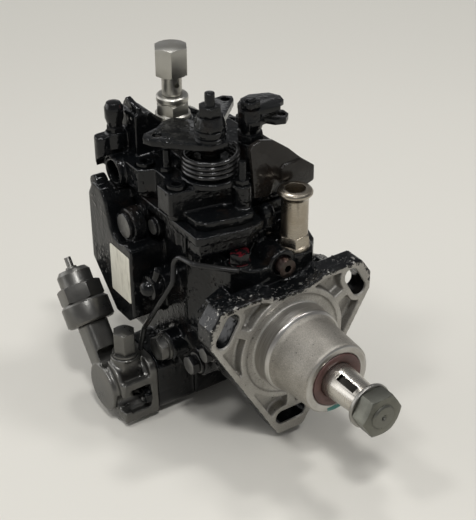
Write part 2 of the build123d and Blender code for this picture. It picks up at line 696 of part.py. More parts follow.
def drive_shaft():
    tip = [
        (0, 0), (THREAD_R - 1, 0), (THREAD_R, 1.0), (THREAD_R, TAPER_END - SHAFT_TIP),
        (TAPER_SMALL_R, TAPER_END - SHAFT_TIP), (SHAFT_R, TAPER_START - SHAFT_TIP),
        (SHAFT_R, YOKE_START - SHAFT_TIP), (YOKE_R, YOKE_START - SHAFT_TIP),
        (YOKE_R, YOKE_END - CLAW_HEIGHT - SHAFT_TIP), (0, YOKE_END - CLAW_HEIGHT - SHAFT_TIP),
    ]
    shaft = aim(turned(tip), (0, SHAFT_TIP, 0), (0, 1, 0))
    shaft -= aim(turned([(0, 0), (CENTRE_DRILL_R, 0), (0, 2.6)]), (0, SHAFT_TIP, 0), (0, 1, 0))
    claw = block(-YOKE_R, YOKE_R, YOKE_END - CLAW_HEIGHT - 0.5, YOKE_END, -CLAW_WIDTH / 2, CLAW_WIDTH / 2)
    claw &= rod_y(YOKE_R, YOKE_START, YOKE_END + 1)
    claw -= rod_y(CROSS_HOLE_R, YOKE_START, YOKE_END + 1)
    key_radius = SHAFT_R - 0.5
    keyway = block(
        -KEYWAY_WIDTH / 2, KEYWAY_WIDTH / 2, KEYWAY_START - KEYWAY_LENGTH, KEYWAY_START,
        key_radius - KEYWAY_DEPTH, SHAFT_R + 2,
    )
    rotor_flat = block(-SHAFT_R, SHAFT_R, BORE_START, GEAR_START + GEAR_WIDTH, SHAFT_R - 1.2, SHAFT_R + 2)
    return shaft + claw - Rot(0, -(KEYWAY_ANGLE - 90), 0) * keyway - rotor_flat


def shaft_washer():
    end = TAPER_END - 0.3
    ring = rod_y(WASHER_R, end - WASHER_THICK, end)
    return ring - rod_y(THREAD_R + SEAT, end - WASHER_THICK - 1, end + 1)


def drive_nut():
    face = TAPER_END - 0.3 - WASHER_THICK
    nut = aim(hexagon(NUT_FLATS, NUT_THICK), (0, face, 0), (0, -1, 0), NUT_TURN + 30)
    return nut - rod_y(THREAD_R + SEAT, face - NUT_THICK - 1, face + 1)


# ---------------------------------------------------------------- vane pump
def vane_pump_ring():
    ring = rod_y(BORE_R - SEAT, BORE_START + SEAT, VANE_RING_END)
    return ring - rod_y(VANE_RING_INNER_R, BORE_START - 1, VANE_RING_END + 1, 0, VANE_ECCENTRIC)


def vane_pump_cover():
    disc = rod_y(BORE_R - SEAT, VANE_RING_END, VANE_RING_END + VANE_COVER_THICK)
    for angle in around(2, 20):
        x, z = 17 * cos(radians(angle)), 17 * sin(radians(angle))
        disc -= rod_y(2.0, VANE_RING_END - 1, VANE_RING_END + 4, x, z)
    return disc - rod_y(SHAFT_R + 1, VANE_RING_END - 1, VANE_RING_END + 4)


def shaft_bore(start, end):
    """Round bore with the flat that keys a part to the drive shaft."""
    bore = rod_y(SHAFT_R + SEAT, start - 1, end + 1)
    return bore - block(-SHAFT_R, SHAFT_R, start - 2, end + 2, SHAFT_R - 1.2 + SEAT, SHAFT_R + 2)


def vane_rotor():
    start, end = BORE_START + AIR, VANE_RING_END - AIR
    rotor = rod_y(ROTOR_R, start, end) - shaft_bore(start, end)
    for angle in around(VANE_COUNT, 45):
        slot = block(VANE_ROOT_R - 0.3, ROTOR_R + 1, start - 1, end + 1, -VANE_THICK / 2 - RUN,
                     VANE_THICK / 2 + RUN)
        rotor -= Rot(0, angle, 0) * slot
    return rotor


def pump_vanes():
    vane = block(VANE_ROOT_R, VANE_TIP_R, BORE_START + AIR, VANE_RING_END - AIR, -VANE_THICK / 2,
                 VANE_THICK / 2)
    return group([Rot(0, angle, 0) * vane for angle in around(VANE_COUNT, 45)])


# ---------------------------------------------------------------- gears
def gear_outline(teeth, first_angle):
    """Involute gear outline with one tooth centred on the first angle."""
    pitch_r = GEAR_MODULE * teeth / 2
    base_r = pitch_r * cos(PRESSURE_ANGLE)
    root_r = pitch_r - 1.25 * GEAR_MODULE
    tip_r = pitch_r + 0.95 * GEAR_MODULE
    half_pitch = pi / (2 * teeth) - GEAR_BACKLASH / (2 * pitch_r)
    roll = tan(PRESSURE_ANGLE) - PRESSURE_ANGLE

    def half_angle(radius):
        slope = acos(min(1.0, base_r / radius))
        return half_pitch + roll - (tan(slope) - slope)

    flank = [(root_r, half_angle(base_r))]
    for radius in (max(base_r, root_r + 0.2), (base_r + pitch_r) / 2, pitch_r,
                   (pitch_r + tip_r) / 2, tip_r):
        flank.append((radius, half_angle(radius)))
    points = []
    for tooth in range(teeth):
        middle = radians(first_angle) + 2 * pi * tooth / teeth
        for radius, angle in flank:
            points.append((radius * cos(middle - angle), radius * sin(middle - angle)))
        for radius, angle in reversed(flank):
            points.append((radius * cos(middle + angle), radius * sin(middle + angle)))
    return make_face(Polyline(*points, close=True))


def drive_gear():
    end = GEAR_START + GEAR_WIDTH
    gear = end_view(gear_outline(DRIVE_TEETH, 90), GEAR_START, end)
    for angle in around(4, 45):
        x, z = 17.5 * cos(radians(angle)), 17.5 * sin(radians(angle))
        gear -= rod_y(3.5, GEAR_START - 1, end + 1, x, z)
    return gear - shaft_bore(GEAR_START, end)


def governor_gear():
    """Pinion and flyweight cage in one piece."""
    end = GEAR_START + GEAR_WIDTH
    half_tooth = 180.0 / GOVERNOR_TEETH
    gear = end_view(gear_outline(GOVERNOR_TEETH, -90 + half_tooth), GEAR_START, end)
    cage = rod_y(CAGE_OUTER_R, end, CAGE_END) - rod_y(CAGE_INNER_R, end + CAGE_FLOOR, CAGE_END + 1)
    for angle in around(WEIGHT_COUNT, 45):
        window = block(9, CAGE_OUTER_R + 2, end + CAGE_FLOOR, CAGE_END + 1,
                       -WEIGHT_WIDTH / 2 - 0.5, WEIGHT_WIDTH / 2 + 0.5)
        cage -= Rot(0, angle, 0) * window
    for angle in around(WEIGHT_COUNT, 0):
        wall = block(10, CAGE_INNER_R + 1, end + CAGE_FLOOR - 0.5, CAGE_END, -2.0, 2.0)
        cage += Rot(0, angle, 0) * wall
    cage += rod_y(SLEEVE_R, end, end + 6)
    bore = rod_y(GOVERNOR_SHAFT_R + RUN, GEAR_START - 1, CAGE_END + 9)
    return Pos(0, 0, governor_z) * (gear + cage - bore)


def flyweight(angle):
    """Weight hinged at the gear end; its toe pushes the sliding sleeve as it swings out."""
    toe_end = WEIGHT_PIVOT_Y + TOE_THICK
    outline = [
        (WEIGHT_OUTER_R, WEIGHT_START), (WEIGHT_OUTER_R, WEIGHT_END), (WEIGHT_INNER_R, WEIGHT_END),
        (WEIGHT_INNER_R, toe_end), (TOE_TIP_R, toe_end), (TOE_TIP_R, WEIGHT_PIVOT_Y),
        (WEIGHT_INNER_R, WEIGHT_START),
    ]
    body = extrude(make_face(Polyline(*outline, close=True)), WEIGHT_WIDTH / 2, both=True)
    return Pos(0, 0, governor_z) * Rot(0, angle, 0) * body


def governor_shaft():
    return rod_y(GOVERNOR_SHAFT_R, GOVERNOR_SHAFT_START, GOVERNOR_SHAFT_END, 0, governor_z)


def governor_sleeve():
    """Sliding sleeve: a flange for the toes and a small button that meets the lever."""
    start = WEIGHT_PIVOT_Y + TOE_THICK + AIR
    length = SLEEVE_END - start
    profile = [
        (0, 0), (SLEEVE_FLANGE_R, 0), (SLEEVE_FLANGE_R, SLEEVE_FLANGE_THICK),
        (SLEEVE_R, SLEEVE_FLANGE_THICK),
        (SLEEVE_R, length - 2.2), (SLEEVE_BUTTON_R, length - 1), (SLEEVE_BUTTON_R - 0.6, length),
        (0, length),
    ]
    sleeve = aim(turned(profile), (0, start, governor_z), (0, 1, 0))
    return sleeve - rod_y(GOVERNOR_SHAFT_R + RUN, start - 1, GOVERNOR_SHAFT_END + 2.2, 0, governor_z)


# ---------------------------------------------------------------- cam drive
def cross_disc():
    """Loose cross that carries the turn from the yoke to the cam disc."""
    start = YOKE_END - CLAW_HEIGHT + AIR
    disc = rod_y(YOKE_R, start, start + 2 * CLAW_HEIGHT - AIR)
    disc -= rod_y(CROSS_HOLE_R, start - 1, start + 20)
    half = CLAW_WIDTH / 2 + RUN
    slot = block(-YOKE_R - 1, YOKE_R + 1, start - 1, YOKE_END + AIR / 2, -half, half)
    back = block(-half, half, YOKE_END + 0.6, start + 20, -YOKE_R - 1, YOKE_R + 1)
    return disc - slot - back


def cam_disc():
    """Disc with four face lobes; it is stored with the lobes on the rollers."""
    crest = ROLLER_Y + ROLLER_R + AIR
    face = crest + CAM_LIFT
    disc = rod_y(CAM_DISC_R, face, face + CAM_DISC_THICK)
    ring = rod_y(CAM_DISC_R, crest - 1, face + 2) - rod_y(ROLLER_INNER_R - 1, crest - 2, face + 3)
    for angle in around(4, ROLLER_FIRST_ANGLE):
        lobe = rod_x(CAM_NOSE_R, 10, CAM_DISC_R + 2, crest + CAM_NOSE_R, 0)
        disc += (Rot(0, angle, 0) * lobe) & ring
    neck_start = YOKE_END + CLAW_HEIGHT
    disc += rod_y(YOKE_R - 1, neck_start + 0.4, face + 1)
    claw = block(-CLAW_WIDTH / 2, CLAW_WIDTH / 2, YOKE_END + 0.9, neck_start + 1, -YOKE_R + 1, YOKE_R - 1)
    disc += claw - rod_y(CROSS_HOLE_R + 0.5, YOKE_END, neck_start + 0.4)
    return disc - rod_y(PLUNGER_R + 1, face + CAM_DISC_THICK - 2, face + CAM_DISC_THICK + 1)


def roller_ring():
    ring = rod_y(ROLLER_RING_R, ROLLER_RING_START, ROLLER_Y)
    ring -= rod_y(ROLLER_RING_INNER_R, ROLLER_RING_START - 1, ROLLER_Y + 1)
    for angle in around(ROLLER_COUNT, ROLLER_FIRST_ANGLE):
        notch = rod_x(ROLLER_R + RUN, ROLLER_INNER_R - 0.3, ROLLER_OUTER_R + 0.2, ROLLER_Y, 0)
        ring -= Rot(0, angle, 0) * notch
    pin = rod_z(TIMING_PIN_R, TIMING_Z + 2, -ROLLER_RING_R + 4, 0, TIMING_Y)
    return ring + pin


def cam_rollers():
    roller = rod_x(ROLLER_R, ROLLER_INNER_R, ROLLER_OUTER_R, ROLLER_Y, 0)
    return group([Rot(0, angle, 0) * roller for angle in around(ROLLER_COUNT, ROLLER_FIRST_ANGLE)])


def cam_back():
    return ROLLER_Y + ROLLER_R + AIR + CAM_LIFT + CAM_DISC_THICK


def plunger_end():
    return HEAD_END - CENTRE_PLUG_DEPTH - PLUNGER_GAP


def plunger():
    start = cam_back() - 2 + SEAT
    foot = rod_y(PLUNGER_FOOT_R, cam_back() + SEAT, cam_back() + PLUNGER_FOOT_THICK)
    return foot + rod_y(PLUNGER_R, start, plunger_end())


def control_collar():
    ring = rod_y(COLLAR_RING_R, COLLAR_RING_Y, COLLAR_RING_Y + COLLAR_RING_THICK)
    ring -= rod_y(PLUNGER_R + RUN, COLLAR_RING_Y - 1, COLLAR_RING_Y + COLLAR_RING_THICK + 1)
    middle = COLLAR_RING_Y + COLLAR_RING_THICK / 2
    return ring - rod_z(COLLAR_HOLE_R + 0.2, LEVER_BALL_Z - 1.2, COLLAR_RING_R + 1, 0, middle)


def plunger_springs():
    start = cam_back() + PLUNGER_FOOT_THICK + AIR
    length = HOUSING_REAR - SEAT - start
    spring = coil(PLUNGER_SPRING_R, PLUNGER_SPRING_WIRE_R, length, PLUNGER_SPRING_TURNS)
    places = [(-PLUNGER_SPRING_X, start, 0), (PLUNGER_SPRING_X, start, 0)]
    return group([aim(spring, place, (0, 1, 0)) for place in places])


def governor_lever():
    """Bent lever: the sleeve pushes its top, its ball end moves the control collar."""
    face = LEVER_FACE_Y
    middle = COLLAR_RING_Y + COLLAR_RING_THICK / 2
    outline = [
        (face, LEVER_TOP_Z), (face, 33), (LEVER_PIVOT_Y - 4, LEVER_PIVOT_Z),
        (middle - 2, COLLAR_RING_R + 3),
        (middle + 2, COLLAR_RING_R + 3), (LEVER_PIVOT_Y + 4, LEVER_PIVOT_Z + 3), (face + LEVER_THICK, 38),
        (face + LEVER_THICK, LEVER_TOP_Z),
    ]
    lever = side_view(outline, -LEVER_WIDTH / 2, LEVER_WIDTH / 2)
    lever -= block(-LEVER_WIDTH, -4, LEVER_PIVOT_Y - 10, middle + 9, 0, LEVER_PIVOT_Z - 4)
    lever -= block(4, LEVER_WIDTH, LEVER_PIVOT_Y - 10, middle + 9, 0, LEVER_PIVOT_Z - 4)
    lever += rod_x(LEVER_PIN_R, -CHAMBER_X + AIR, CHAMBER_X - AIR, LEVER_PIVOT_Y, LEVER_PIVOT_Z)
    return lever + rod_z(LEVER_BALL_R, LEVER_BALL_Z, COLLAR_RING_R + 4, 0, middle)


# ---------------------------------------------------------------- distributor head
def head_section():
    return RectangleRounded(2 * HEAD_HALF_WIDTH, 2 * HEAD_HALF_WIDTH, HEAD_CORNER_R)


def outlet_places():
    return [
        (OUTLET_CIRCLE_R * cos(radians(a)), OUTLET_CIRCLE_R * sin(radians(a)))
        for a in around(OUTLET_COUNT, OUTLET_FIRST_ANGLE)
    ]


def distributor_head():
    rear = HOUSING_REAR + HEAD_FLANGE_THICK
    head = end_view(head_section(), HOUSING_REAR, rear)
    head += aim(turned([
        (0, 0), (HEAD_BARREL_R, 0), (HEAD_BARREL_R - 1, HEAD_END - rear - 2),
        (HEAD_BARREL_R - 3, HEAD_END - rear), (0, HEAD_END - rear),
    ]), (0, rear, 0), (0, 1, 0))
    head += rod_y(BORE_R - SEAT, HOUSING_REAR - HEAD_SPIGOT_LENGTH, HOUSING_REAR)
    head += rod_z(SHUTOFF_R + 2, 10, HEAD_HALF_WIDTH, SHUTOFF_X, SHUTOFF_Y)
    for x, z in outlet_places():
        head += rod_y(8.2, rear - 1, HEAD_END + 2, x, z)
    head -= rod_y(PLUNGER_R + RUN, HOUSING_REAR - 9, plunger_end() + 2)
    head -= block(-PLUNGER_SPRING_X - 8, PLUNGER_SPRING_X + 8, HOUSING_REAR - 9, HOUSING_REAR, -8, 8)
    for x, z in outlet_places():
        head -= rod_y(OUTLET_THREAD_R + SEAT, HEAD_END + 2 - OUTLET_SEAT_DEPTH - 8, HEAD_END + 3, x, z)
    for x in (-HEAD_BOLT_X, HEAD_BOLT_X):
        for z in (-HEAD_BOLT_X, HEAD_BOLT_X):
            head -= rod_y(HEAD_BOLT_R + SEAT, HOUSING_REAR - 1, rear + 1, x, z)
            head -= rod_y(HEAD_BOLT_HEAD_R + 0.8, rear, HEAD_END, x, z)
    head -= rod_y(CENTRE_PLUG_R + SEAT, plunger_end(), HEAD_END + 1)
    return head - rod_z(8.0 + SEAT, HEAD_HALF_WIDTH - 14, HEAD_HALF_WIDTH + 1, SHUTOFF_X, SHUTOFF_Y)


def head_bolts():
    rear = HOUSING_REAR + HEAD_FLANGE_THICK
    bolts = []
    for x in (-HEAD_BOLT_X, HEAD_BOLT_X):
        for z in (-HEAD_BOLT_X, HEAD_BOLT_X):
            bolt = rod_y(HEAD_BOLT_R, HOUSING_REAR - 13, rear, x, z)
            bolt += rod_y(HEAD_BOLT_HEAD_R, rear, rear + 6, x, z)
            socket = aim(hexagon(5.0, 3.5), (x, rear + 6.01, z), (0, -1, 0))
            bolts.append(bolt - socket)
    return group(bolts)


def delivery_valve_holders():
    """Threaded outlets that hold the delivery valves and take the pipe unions."""
    face = HEAD_END + 2
    thread = OUTLET_THREAD_R
    holders = []
    for x, z in outlet_places():
        hexa = hexagon(OUTLET_FLATS, OUTLET_HEX_LENGTH)
        length = OUTLET_LENGTH
        barrel = turned([
            (0, -OUTLET_SEAT_DEPTH - 7), (thread, -OUTLET_SEAT_DEPTH - 7), (thread, 0.5),
            (thread - 0.8, OUTLET_HEX_LENGTH + 0.01), (thread - 0.8, OUTLET_HEX_LENGTH + 3),
            (thread, OUTLET_HEX_LENGTH + 3.8), (thread, length - 1), (thread - 1, length),
            (3.2, length), (OUTLET_BORE_R, length - 2.4), (OUTLET_BORE_R, 0), (0, 0),
        ])
        bore = Pos(0, 0, length / 2 + 1) * Cylinder(OUTLET_BORE_R, length)
        holders.append(aim(hexa + barrel - bore, (x, face, z), (0, 1, 0)))
    return group(holders)


def head_centre_plug():
    depth = CENTRE_PLUG_DEPTH
    plug = hexagon(CENTRE_PLUG_FLATS, CENTRE_PLUG_LENGTH)
    plug += turned([(0, -depth), (CENTRE_PLUG_R, -depth), (CENTRE_PLUG_R, 1), (0, 1)])
    return aim(plug, (0, HEAD_END, 0), (0, 1, 0))


def shutoff_solenoid():
    base = HEAD_HALF_WIDTH
    body = turned([
        (0, -12), (8.0, -12), (8.0, 0), (SHUTOFF_R, 0), (SHUTOFF_R, SHUTOFF_TOP - base - 5),
        (SHUTOFF_R - 1.5, SHUTOFF_TOP - base - 3), (5.0, SHUTOFF_TOP - base - 3), (4.2, SHUTOFF_TOP - base),
        (2.0, SHUTOFF_TOP - base), (2.0, SHUTOFF_TOP - base + 6), (0, SHUTOFF_TOP - base + 6),
    ])
    body += hexagon(SHUTOFF_FLATS, SHUTOFF_HEX_HEIGHT, 2.0)
    return Pos(SHUTOFF_X, SHUTOFF_Y, base) * body


# ---------------------------------------------------------------- governor cover
def rear_block():
    """Tall block behind the levers; its right shoulder falls to the overflow boss."""
    left, right, top = REAR_BLOCK_LEFT, REAR_BLOCK_RIGHT, REAR_BLOCK_TOP
    outline = [(left, SLAB_TOP - 1), (left, top), (right - 6, top - 1), (right, OVERFLOW_BASE_Z),
               (right, SLAB_TOP - 1)]
    face = make_face(Polyline(*outline, close=True))
    face = fillet([v for v in face.vertices() if v.Y > SLAB_TOP], 1.8)
    fin = side_view([(95, top - 2), (96, top + 3), (108, top + 5.6), (112, top), (112, top - 2)],
                    left + 2, left + 5.5)
    return end_view(face, REAR_BLOCK_FRONT, SLAB_REAR) + fin


def corner_block():
    """Lug at the rear left corner with the seat of the capped adjuster."""
    lug = block(CORNER_BLOCK_LEFT, -30, 103.5, SLAB_REAR, BAND_TOP + 6.5, CORNER_BLOCK_TOP)
    lug = fillet(lug.edges().filter_by(Axis.Z).sort_by(Axis.X)[:2], 3.6)
    lug -= rod_x(REAR_BOSS_R + 0.6, CORNER_BLOCK_LEFT - 1, REAR_BOSS_FACE_X, REAR_BOSS_Y, REAR_BOSS_Z)
    return lug + rod_z(5.4, CORNER_BLOCK_TOP - 8, CORNER_BLOCK_TOP + 1.5, CAP_SCREW_X, CAP_SCREW_Y)


def governor_cover():
    band_plan = [
        (-38, SLAB_REAR), (-38, 36), (-35, 31), (-15, 26), (-7, 27), (-3, CUT_BACK_Y + 1),
        (31, CUT_BACK_Y + 1),
        (36, 48), (36, SLAB_REAR),
    ]
    band = top_view(band_plan, LEDGE_TOP, BAND_TOP + 1, 2.0)
    slab_plan = [
        (SLAB_LEFT, SLAB_FRONT_LEFT), (-16, SLAB_FRONT_LEFT - 5.5), (-13, SLAB_FRONT_RIGHT + 2.5),
        (2, SLAB_FRONT_RIGHT + 1), (SLAB_RIGHT - 4, SLAB_FRONT_RIGHT), (SLAB_RIGHT, SLAB_FRONT_RIGHT + 4),
        (SLAB_RIGHT, SLAB_REAR), (SLAB_LEFT + 10, SLAB_REAR), (SLAB_LEFT, 94), (SLAB_LEFT, 80),
        (SLAB_LEFT + 8, 76), (SLAB_LEFT + 8, 65), (SLAB_LEFT, 61),
    ]
    slab = top_view(slab_plan, BAND_TOP, SLAB_TOP, 1.4)
    cover = band + slab
    cover += block(-27, 22, 62, 104, SLAB_TOP - 1, DOME_TOP)
    cover += rod_z(DOME_R, SLAB_TOP - 1, DOME_TOP, -8, 62)
    cover += rear_block() + corner_block()
    cover += rod_x(REAR_BOSS_R, REAR_BOSS_FACE_X, -30, REAR_BOSS_Y, REAR_BOSS_Z)
    cover += rod_z(SPRING_POCKET_R, SLAB_TOP - 1, SPRING_SEAT_Z, THROTTLE_X, THROTTLE_Y)
    cover -= rod_z(SPRING_POCKET_R, SPRING_SEAT_Z, DOME_TOP + 30, THROTTLE_X, THROTTLE_Y)
    cover += rod_z(THROTTLE_TOWER_R, SLAB_TOP - 1, SPRING_SEAT_Z + 9, THROTTLE_X, THROTTLE_Y)
    cover += rod_z(STOP_TOWER_R, SLAB_TOP - 1, STOP_TOWER_TOP, STOP_X, STOP_Y)
    cover += rod_z(5.0, BAND_TOP, SLAB_TOP, *STOP_SCREWS[0])
    cover += rod_z(11.0, SLAB_TOP - 1, OVERFLOW_BASE_Z, OVERFLOW_X, OVERFLOW_Y)
    cavity = [(-32, 107), (-32, 54), (-16, 49), (-10, 44), (29, 44), (29, 107)]
    cover -= top_view(cavity, LEDGE_TOP - 1, CAVITY_TOP)
    cover -= rod_x(REAR_BOSS_BORE_R, REAR_BOSS_FACE_X - 1, REAR_BOSS_FACE_X + 8, REAR_BOSS_Y, REAR_BOSS_Z)
    return cover_holes(cover)


def cover_holes(cover):
    """Bolt, shaft and fitting holes, with posts where the bolts cross the hollow."""
    for x, y in COVER_BOLTS:
        cover += rod_z(5.5, LEDGE_TOP, CAVITY_TOP + 1, x, y)
        cover -= rod_z(COVER_BOLT_R + SEAT, LEDGE_TOP - 1, SLAB_TOP + 1, x, y)
        cover -= rod_z(COVER_BOLT_HEAD_R + 0.6, SLAB_TOP - COVER_BOLT_SINK, REAR_BLOCK_TOP + 1, x, y)
    cover += rod_z(8.5, CAVITY_TOP - 6, CAVITY_TOP + 1, THROTTLE_X, THROTTLE_Y)
    cover += rod_z(7.0, CAVITY_TOP - 6, CAVITY_TOP + 1, STOP_X, STOP_Y)
    cover -= rod_z(THROTTLE_SHAFT_R + RUN, LEDGE_TOP - 1, STOP_LEVER_Z, THROTTLE_X, THROTTLE_Y)
    cover -= rod_z(STOP_SHAFT_R + RUN, LEDGE_TOP - 1, STOP_LEVER_Z, STOP_X, STOP_Y)
    cover -= rod_z(OVERFLOW_STEM_R + SEAT, CAVITY_TOP - 1, OVERFLOW_BASE_Z + 1, OVERFLOW_X, OVERFLOW_Y)
    cover -= rod_z(OVERFLOW_SEAT_R + 0.6, OVERFLOW_BASE_Z, REAR_BLOCK_TOP + 1, OVERFLOW_X, OVERFLOW_Y)
    cover -= rod_z(3.0 + SEAT, CORNER_BLOCK_TOP - 9, CORNER_BLOCK_TOP + 3, CAP_SCREW_X, CAP_SCREW_Y)
    for x, y in STOP_SCREWS:
        cover -= rod_z(2.2 + SEAT, SLAB_TOP - 5, SLAB_TOP + 1, x, y)
        cover -= rod_z(4.6, SLAB_TOP, DOME_TOP, x, y)
    return cover - rod_y(4.0 + SEAT, 97 - SEAT, SLAB_REAR + 1, 8, 88)


def cover_bolts():
    """Socket screws of the governor cover and of the lever bracket."""
    bolts = []
    seat = SLAB_TOP - COVER_BOLT_SINK
    top = seat + COVER_BOLT_HEAD_HEIGHT
    for x, y in COVER_BOLTS:
        bolt = rod_z(COVER_BOLT_R, SLAB_TOP - COVER_BOLT_LENGTH, seat, x, y)
        bolt += rod_z(COVER_BOLT_HEAD_R, seat, top, x, y)
        socket = Pos(x, y, top - 3) * hexagon(5.0, 3.5)
        bolts.append(bolt - socket)
    return group(bolts)


def full_load_screw():
    """Long adjusting screw in the cover's rear wall with its lock nut."""
    screw = rod_y(4.0, 97, SLAB_REAR + 16, 8, 88)
    nut = aim(hexagon(13.0, 6.5), (8, SLAB_REAR, 88), (0, 1, 0))
    slot = block(7.4, 8.6, SLAB_REAR + 14.5, SLAB_REAR + 17, 83, 93)
    return screw + nut - slot


def capped_adjuster():
    base = CORNER_BLOCK_TOP + 1.5
    cap = turned([
        (0, -9), (3.0, -9), (3.0, 0), (3.8, 0), (3.8, 3.2), (CAP_SCREW_R, 8), (CAP_SCREW_R, 14),
        (CAP_SCREW_R - 1.3, 16.6), (0, 17.4),
    ])
    return Pos(CAP_SCREW_X, CAP_SCREW_Y, base) * (cap + hexagon(8.6, 3.0))


# ---------------------------------------------------------------- control levers
def throttle_shaft():
    """Upright shaft with the eccentric pin of the governor spring at its foot."""
    top = THROTTLE_LEVER_Z
    shaft = rod_z(THROTTLE_SHAFT_R, THROTTLE_SHAFT_BOTTOM + 3.5, top, THROTTLE_X, THROTTLE_Y)
    shaft += rod_z(THROTTLE_SHAFT_R - 1, top, THROTTLE_HUB_TOP, THROTTLE_X, THROTTLE_Y)
    shaft += rod_z(THROTTLE_STUD_R, THROTTLE_HUB_TOP - 1, THROTTLE_STUD_TOP, THROTTLE_X, THROTTLE_Y)
    return shaft + rod_z(1.5, THROTTLE_SHAFT_BOTTOM, THROTTLE_SHAFT_BOTTOM + 4, THROTTLE_X + 3, THROTTLE_Y)


def throttle_lever():
    """Flat lever with a broad lobe, a fork lobe and a ribbed hub."""
    z0, z1 = THROTTLE_LEVER_Z, THROTTLE_LEVER_Z + LEVER_PLATE_THICK
    outline = [
        (-46.5, 72.5), (-44.5, 67), (-36, 57.5), (-29, 50), (-22, 43.5), (-12, 43), (-7, 50),
        (-8.5, 60), (-12, 72), (-16, 81), (-21, 85), (-27, 84), (-34, 79), (-43, 76.5),
    ]
    plate = top_view(outline, z0, z1, 1.8)
    hub = Pos(THROTTLE_X, THROTTLE_Y, z0) * turned([
        (0, -3), (THROTTLE_HUB_R, -3), (THROTTLE_HUB_R, 4.5), (THROTTLE_HUB_R - 1, 5),
        (THROTTLE_HUB_R - 1, 6),
        (THROTTLE_HUB_R, 6.5), (THROTTLE_HUB_R, 8.5), (THROTTLE_HUB_R - 1, 9), (THROTTLE_HUB_R - 1, 10),
        (THROTTLE_HUB_R, 10.5), (THROTTLE_HUB_R - 1.5, THROTTLE_HUB_TOP - z0), (0, THROTTLE_HUB_TOP - z0),
    ])
    arm_outline = [
        (-22, 46), (-14, 45), (-9, 52), (0, 60.5), (8, 68), (10, 72.5), (6, 76), (0, 75.5),
        (-12, 67), (-24, 58),
    ]
    arm = top_view(arm_outline, z1 + 6, z1 + 9.5, 1.5)
    lever = plate + hub + arm
    lever -= rod_z(2.6, z0 - 1, z1 + 1, -38.5, 71)
    lever -= rod_z(2.6, z1, z1 + 12, 4.5, 71)
    return lever - rod_z(THROTTLE_SHAFT_R - 1 + SEAT, z0, THROTTLE_STUD_TOP, THROTTLE_X, THROTTLE_Y) \
        - rod_z(THROTTLE_SHAFT_R + SEAT, z0 - 4, z0, THROTTLE_X, THROTTLE_Y)


def throttle_nut():
    nut = hexagon(THROTTLE_NUT_FLATS, THROTTLE_NUT_THICK) - Cylinder(THROTTLE_STUD_R + SEAT, 40)
    return Pos(THROTTLE_X, THROTTLE_Y, THROTTLE_HUB_TOP) * nut


def return_spring():
    """Torsion spring round the tower, closed coils that grow towards its seat."""
    length = THROTTLE_LEVER_Z - AIR - 3 - SPRING_SEAT_Z
    spring = coil(RETURN_SPRING_R, RETURN_SPRING_WIRE_R, length, RETURN_SPRING_TURNS)
    return Pos(THROTTLE_X, THROTTLE_Y, SPRING_SEAT_Z) * spring


def stop_lever():
    """Shut-off lever: two plates and their collars on one upright shaft."""
    z0 = STOP_LEVER_Z
    z1 = z0 + LEVER_PLATE_THICK
    top = z0 + STOP_STACK_HEIGHT
    low_outline = [
        (-1, 50), (1, 56), (6, 58), (12, 54), (21, 49.5), (25.5, 47.2), (25, 41.5), (20, 37), (14.5, 39),
        (11.5, 43.5), (7, 42), (1, 43),
    ]
    top_outline = [
        (0, 51), (2.4, 56.5), (8.3, 61), (14.1, 62.5), (24.1, 58.5), (27, 52), (25.1, 46), (21.4, 44.5),
        (19.5, 41), (14.5, 41.5), (9.6, 42.2), (2, 44.5),
    ]
    plates = top_view(low_outline, z0, z1, 1.6) + top_view(top_outline, top - 2.5, top, 1.4)
    collar = STOP_TOWER_TOP + AIR
    hub = rod_z(6.5, z0 - 2, top, STOP_X, STOP_Y) + rod_z(5.2, collar, z0, STOP_X, STOP_Y)
    hub += Pos(STOP_X, STOP_Y, collar) * hexagon(STOP_COLLAR_FLATS, 4.2)
    shaft = rod_z(STOP_SHAFT_R, CAVITY_TOP - 9, z0, STOP_X, STOP_Y)
    stud = rod_z(STOP_STUD_R, z0, STOP_SHAFT_TOP, STOP_X, STOP_Y)
    return plates + hub + shaft + stud - rod_z(2.2, z0 - 1, z1 + 1, 21.5, 43)


def stop_nut():
    nut = hexagon(STOP_NUT_FLATS, STOP_NUT_THICK) - Cylinder(STOP_STUD_R + SEAT, 30)
    return Pos(STOP_X, STOP_Y, STOP_LEVER_Z + STOP_STACK_HEIGHT) * nut


def stop_screws():
    """Idle and full-speed stop screws, upright in the cover with their lock nuts."""
    screws = []
    for x, y in STOP_SCREWS:
        screw = rod_z(2.2, SLAB_TOP - 5, SLAB_TOP + 13, x, y)
        screws.append(screw + Pos(x, y, SLAB_TOP) * hexagon(7.0, 2.9))
    return group(screws)


def cable_bracket():
    """Pressed plate on the cover's front right; its lower right corner is folded forward."""
    plate = [
        (-1.8, 75), (-3, 90.7), (-4.4, 103.7), (-3, 106.2), (2, 107.5), (10.6, 105.5), (20, 98.5),
        (28.5, 90.4),
        (35.6, 85), (35.8, 76), (31.4, 74.4), (20, 78), (14, 79.5), (11, 75.7), (6.9, 73.7),
    ]
    sheet = end_view(fillet(make_face(Polyline(*plate, close=True)).vertices(), 1.2), BRACKET_Y,
                     BRACKET_Y + 2.6)
    fold = [
        (14.3, 88.2), (14.4, 82.2), (17, 79.8), (31.4, 74.6), (35.8, 76), (35.7, 85), (28.5, 90.2),
        (16.6, 90),
    ]
    front = BRACKET_Y - BRACKET_FOLD
    folded = end_view(fillet(make_face(Polyline(*fold, close=True)).vertices(), 1.4), front,
                      BRACKET_Y + 0.2)
    return sheet + folded


